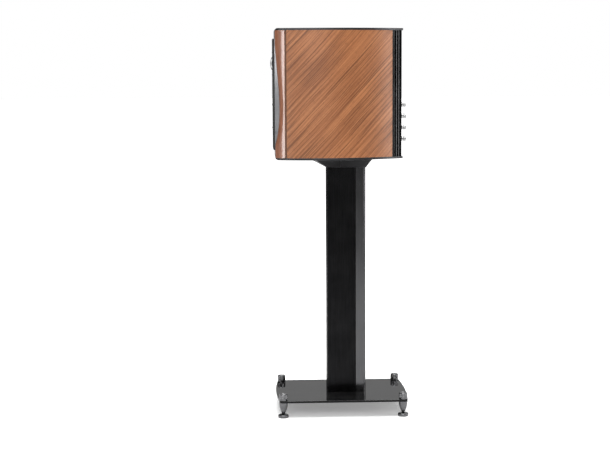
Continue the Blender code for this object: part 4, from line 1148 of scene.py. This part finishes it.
# ---------------------------------------------------------------- stand
def fluted_line(start, end, bow, count):
    dx, dy = end[0] - start[0], end[1] - start[1]
    length = math.hypot(dx, dy)
    ux, uy = dx / length, dy / length
    pitch = length / count
    points = []
    steps = [(0.0, 0.06), (0.04, 0.0), (0.145, 0.0), (0.25, 0.0), (0.30, 0.08), (0.36, 0.42), (0.43, 0.8)]
    steps += [(0.50, 0.97), (0.645, 1.0), (0.79, 0.97), (0.86, 0.8), (0.93, 0.42)]
    for i in range(count):
        for along, depth in steps:
            run = pitch * (i + along)
            middle = 2 * run / length - 1
            out = bow * (1 - middle**2) - 1.4 * MM * depth
            points.append((start[0] + ux * run + uy * out, start[1] + uy * run - ux * out))
    return points


def make_column():
    low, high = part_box("column_fluted")
    w, front, seam = high.x, -33.4 * MM, high.y
    pitch, wall = 5.55 * MM, 3.5 * MM
    side_count = round((seam - front) / pitch)
    nose_count = round(2 * w / pitch)
    outline = fluted_line((-w, seam), (-w, front), 0, side_count)
    outline += fluted_line((-w, front), (w, front), 2.2 * MM, nose_count)
    outline += fluted_line((w, front), (w, seam), 0, side_count) + [(w, seam)]
    hollow = rectangle(wall - w, front + wall, w - wall, seam - wall)
    tube = extruded(outline, low.z, high.z, [hollow])
    add_piece("fluted_column_tube", tube, "fluted_metal", "column_fluted", sharp=40)
    low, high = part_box("column_rear_cover")
    w, start, r = high.x, low.y, 8 * MM
    corner = (w - r, high.y - r)
    outer = [(w - 0.5 * MM, start), (w, start + 0.5 * MM)] + arc(corner, r, 0, QUARTER, 16)
    inner = [(w - wall, start)] + arc(corner, r - wall, 0, QUARTER, 16)
    cover = extruded(mirrored(outer) + list(reversed(mirrored(inner))), low.z, high.z)
    add_piece("smooth_column_cover", cover, "satin_cover", "column_rear_cover")


def make_bracket():
    foot, top = 33.2 * MM, 55 * MM
    front_bow, rear_bow = -13 * MM, 7.5 * MM
    castings = (
        ("front", -34.6 * MM, -2.2 * MM, -65 * MM, front_bow),
        ("rear", 73.8 * MM, 0, 86 * MM, rear_bow),
    )
    for label, foot_y, foot_bow, top_y, top_bow in castings:
        node = "bracket_" + label
        low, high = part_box(node)
        seam = high.y if label == "front" else low.y
        rings = []
        for half, y, bow, z in ((foot, foot_y, foot_bow, low.z), (top, top_y, top_bow, high.z)):
            ring = [(half, seam)] + bowed(half, y, bow, 41) + [(-half, seam)]
            rings.append([(*point, z) for point in ring])
        casting = lofted(rings)
        add_piece(node + "_casting", casting, "graphite", node, edge=0.7 * MM, steps=3, sharp=24)
    # A black rubber sheet between bracket and cabinet that also stands in, as painted shade, for the shadow in
    # the gap there.
    low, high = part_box("isolation_mat")
    front_line = bowed(high.x, -62 * MM, front_bow, 41)
    rear_line = bowed(high.x, 83 * MM, rear_bow, 41)
    mat = extruded(front_line + rear_line[::-1], low.z, high.z)
    add_piece("isolation_mat_painted_gap_shadow", mat, "rubber", "isolation_mat", edge=0.4 * MM)


def make_base():
    low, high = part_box("base_plate")
    corner = 7 * MM
    front, rear = -170 * MM, 180 * MM
    straight = high.x - corner
    right_front = arc((straight, front + corner), corner, -QUARTER, 0, 9)
    right_rear = arc((straight, rear - corner), corner, 0, QUARTER, 9)
    front_line = bowed(straight, front, -7.7 * MM, 61)
    rear_line = bowed(straight, rear, 6 * MM, 61)
    outline = right_front[:0:-1] + front_line + [(-x, y) for x, y in right_front[1:]]
    outline += [(-x, y) for x, y in right_rear[:-1]] + rear_line[::-1] + right_rear[-2::-1]
    spikes = [reached(name + "_spike")[2] for name in FEET]
    holes = [circle((spike.x, spike.y), 4.3 * MM, 32) for spike in spikes]
    plate = extruded(outline, low.z, high.z, holes)
    add_piece("gloss_base_plate", plate, "gloss_plate", "base_plate", edge=0.5 * MM, steps=3, sharp=50)


def make_foot(name):
    low, high, middle = reached(name + "_lock_knob")
    at = (middle.x, middle.y)
    bore = 4.3 * MM
    r = high.x - middle.x
    top, bottom = high.z, low.z
    grip = 0.4 * MM
    knob = [
        (0, top - 1.6 * MM),
        (bore, top - 1.6 * MM),
        (bore, bottom),
        (r - 0.8 * MM, bottom),
        (r - 0.2 * MM, bottom + 0.6 * MM),
        (r - 0.2 * MM, bottom + 3.0 * MM),
        (r - 0.9 * MM, bottom + 3.4 * MM),
        (r - 0.9 * MM, bottom + 4.2 * MM),
        (r - 0.1 * MM, bottom + 4.7 * MM, grip),
        (r - 0.1 * MM, bottom + 5.2 * MM, grip),
        (r - 0.5 * MM, top - 2.6 * MM, grip),
        (r - 0.7 * MM, top - 2.1 * MM),
        (r - 0.8 * MM, top - 1.4 * MM),
        (r - 1.1 * MM, top - 0.7 * MM),
        (r - 1.9 * MM, top - 0.1 * MM),
        (r - 3.2 * MM, top),
        (r - 3.8 * MM, top - 0.5 * MM),
        (0, top - 0.5 * MM),
    ]
    add_piece(name + "_grip_knob", turned(knob, "z", at, 216, ridges=54), "foot_metal", name + "_lock_knob")
    low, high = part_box(name + "_shoe")
    r, h = high.x - middle.x, high.z
    shoe = [(0, low.z), (r - 0.8 * MM, low.z), (r, low.z + 0.8 * MM), (r, h - 1.4 * MM), (r - 1.2 * MM, h)]
    shoe += [(7 * MM, h), (6.3 * MM, h - 0.4 * MM), (5 * MM, h - 0.4 * MM), (2.2 * MM, 4.9 * MM), (0, 4.9 * MM)]
    shoe_mesh = turned(eased(shoe, 0.5 * MM, closed=False), "z", at, 80)
    add_piece(name + "_disc_shoe", shoe_mesh, "foot_metal", name + "_shoe")
    low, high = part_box(name + "_spike")
    r = high.x - middle.x
    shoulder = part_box("base_plate")[0].z - GAP
    stem, tip = 4 * MM, 0.6 * MM
    points = [(0, low.z), (0.8 * MM, low.z)]
    for share in spread(0.08, 1.0, 20):
        radius = r * (1 - (1 - share) ** 2.05) ** 0.94
        points.append((radius, low.z + (shoulder - low.z) * share))
    points += [(r - 0.4 * MM, shoulder), (stem, shoulder), (stem, high.z - tip)]
    points += [(stem - tip, high.z), (0, high.z)]
    add_piece(name + "_cone_spike", turned(points, "z", at, 72), "foot_metal", name + "_spike")


# ---------------------------------------------------------------- studio
def make_floor():
    bm = bmesh.new()
    rings = []
    for radius in (0.6, 1.2, 2.5, 5.0, 12.0, 40.0):
        rings.append([bm.verts.new((x, y, -0.1 * MM)) for x, y in circle((0, 0), radius, 64)])
    bm.faces.new(rings[0])
    for inner, outer in zip(rings, rings[1:]):
        for i in range(64):
            bm.faces.new((inner[i - 1], inner[i], outer[i], outer[i - 1]))
    bmesh.ops.recalc_face_normals(bm, faces=bm.faces[:])
    mesh = bpy.data.meshes.new("studio_floor")
    bm.to_mesh(mesh)
    bm.free()
    floor = bpy.data.objects.new("studio_floor", mesh)
    bpy.context.scene.collection.objects.link(floor)
    made, tree, shader, place = new_finish("pale_floor_paint", {"Specular IOR Level": 0.1})
    shade = noise(tree, place, 3.0, 3.0, 0.5)
    colour = mixed(tree, shade, (0.86, 0.86, 0.86), (0.88, 0.88, 0.88))
    finish_from(tree, shader, colour, remapped(tree, shade, 0.0, 1.0, 0.7, 0.8))
    # Painted light: a glow seen only by the camera, weak next to the stand where it lifts the cast shadow, and
    # stronger further out until the floor turns white.
    reach = put(tree, "ShaderNodeVectorMath", {0: place}, operation="LENGTH").outputs["Value"]
    glow = remapped(tree, reach, 0.3, 2.2, 0.26, 1.1)
    seen = put(tree, "ShaderNodeLightPath").outputs["Is Camera Ray"]
    tree.links.new(maths(tree, "MULTIPLY", glow, seen), shader.inputs["Emission Strength"])
    shader.inputs["Emission Color"].default_value = (1, 1, 1, 1)
    mesh.materials.append(made)


def add_softbox(name, location, target, width, height, power):
    light = bpy.data.lights.new(name, "AREA")
    light.shape = "RECTANGLE"
    light.size = width
    light.size_y = height
    light.energy = power
    lamp = bpy.data.objects.new(name, light)
    lamp.location = location
    lamp.rotation_euler = (Vector(target) - Vector(location)).to_track_quat("-Z", "Y").to_euler()
    bpy.context.scene.collection.objects.link(lamp)


def make_lights():
    add_softbox("top_softbox", (0.2, 0.0, 3.0), (0, 0, 0.4), 2.4, 2.4, 125)
    add_softbox("camera_side_softbox", (3.5, -0.35, 2.1), (0, 0, 0.8), 1.5, 1.5, 46)
    add_softbox("cheek_strip", (2.70, -1.65, 1.0), (0.09, -0.155, 0.9), 0.13, 2.2, 11)
    add_softbox("rib_strip", (1.35, 2.85, 1.0), (0.05, 0.16, 0.9), 0.34, 1.8, 24)
    add_softbox("far_softbox", (-3.0, 0.6, 2.2), (0, 0, 0.8), 1.6, 1.6, 40)
    world = bpy.data.worlds.new("white_studio")
    bpy.context.scene.world = world
    world.use_nodes = True
    tree = world.node_tree
    tree.nodes.clear()
    way = put(tree, "ShaderNodeTexCoord").outputs["Generated"]
    parts = put(tree, "ShaderNodeSeparateXYZ", {0: way}).outputs
    behind = remapped(tree, parts["X"], -0.55, -0.95, 0.05, 0.23)
    above = remapped(tree, parts["Z"], 0.1, 0.9, 0.0, 0.4)
    strength = maths(tree, "ADD", behind, above)
    lit = put(tree, "ShaderNodeBackground", {"Color": (1, 1, 1), "Strength": strength}).outputs[0]
    seen = put(tree, "ShaderNodeBackground", {"Color": (1, 1, 1), "Strength": 1.0}).outputs[0]
    ray = put(tree, "ShaderNodeLightPath").outputs["Is Camera Ray"]
    both = put(tree, "ShaderNodeMixShader", {0: ray, 1: lit, 2: seen}).outputs[0]
    put(tree, "ShaderNodeOutputWorld", {"Surface": both})
    bpy.context.scene.view_settings.view_transform = "Standard"


def make_camera():
    yaw, pitch, roll = 0.038, 0.112, -0.0053
    forward = Vector((-math.cos(yaw) * math.cos(pitch), math.sin(yaw) * math.cos(pitch), -math.sin(pitch)))
    level = Vector((math.sin(yaw), math.cos(yaw), 0))
    upright = level.cross(forward)
    right = level * math.cos(roll) + upright * math.sin(roll)
    up = upright * math.cos(roll) - level * math.sin(roll)
    data = bpy.data.cameras.new("studio_camera")
    data.sensor_width = 36
    data.lens = 82.62
    data.clip_start = 0.05
    data.clip_end = 100
    camera = bpy.data.objects.new("studio_camera", data)
    bpy.context.scene.collection.objects.link(camera)
    turn = Matrix((right, up, -forward)).transposed().to_4x4()
    camera.matrix_world = Matrix.Translation((3.858, -0.2403, 0.9487)) @ turn
    bpy.context.scene.camera = camera


make_camera()
make_sides()
make_cheeks()
make_plates()
make_baffle()
make_rear()
make_woofer()
make_tweeter()
make_inside()
make_column()
make_bracket()
make_base()
for foot_name in FEET:
    make_foot(foot_name)
make_floor()
make_lights()
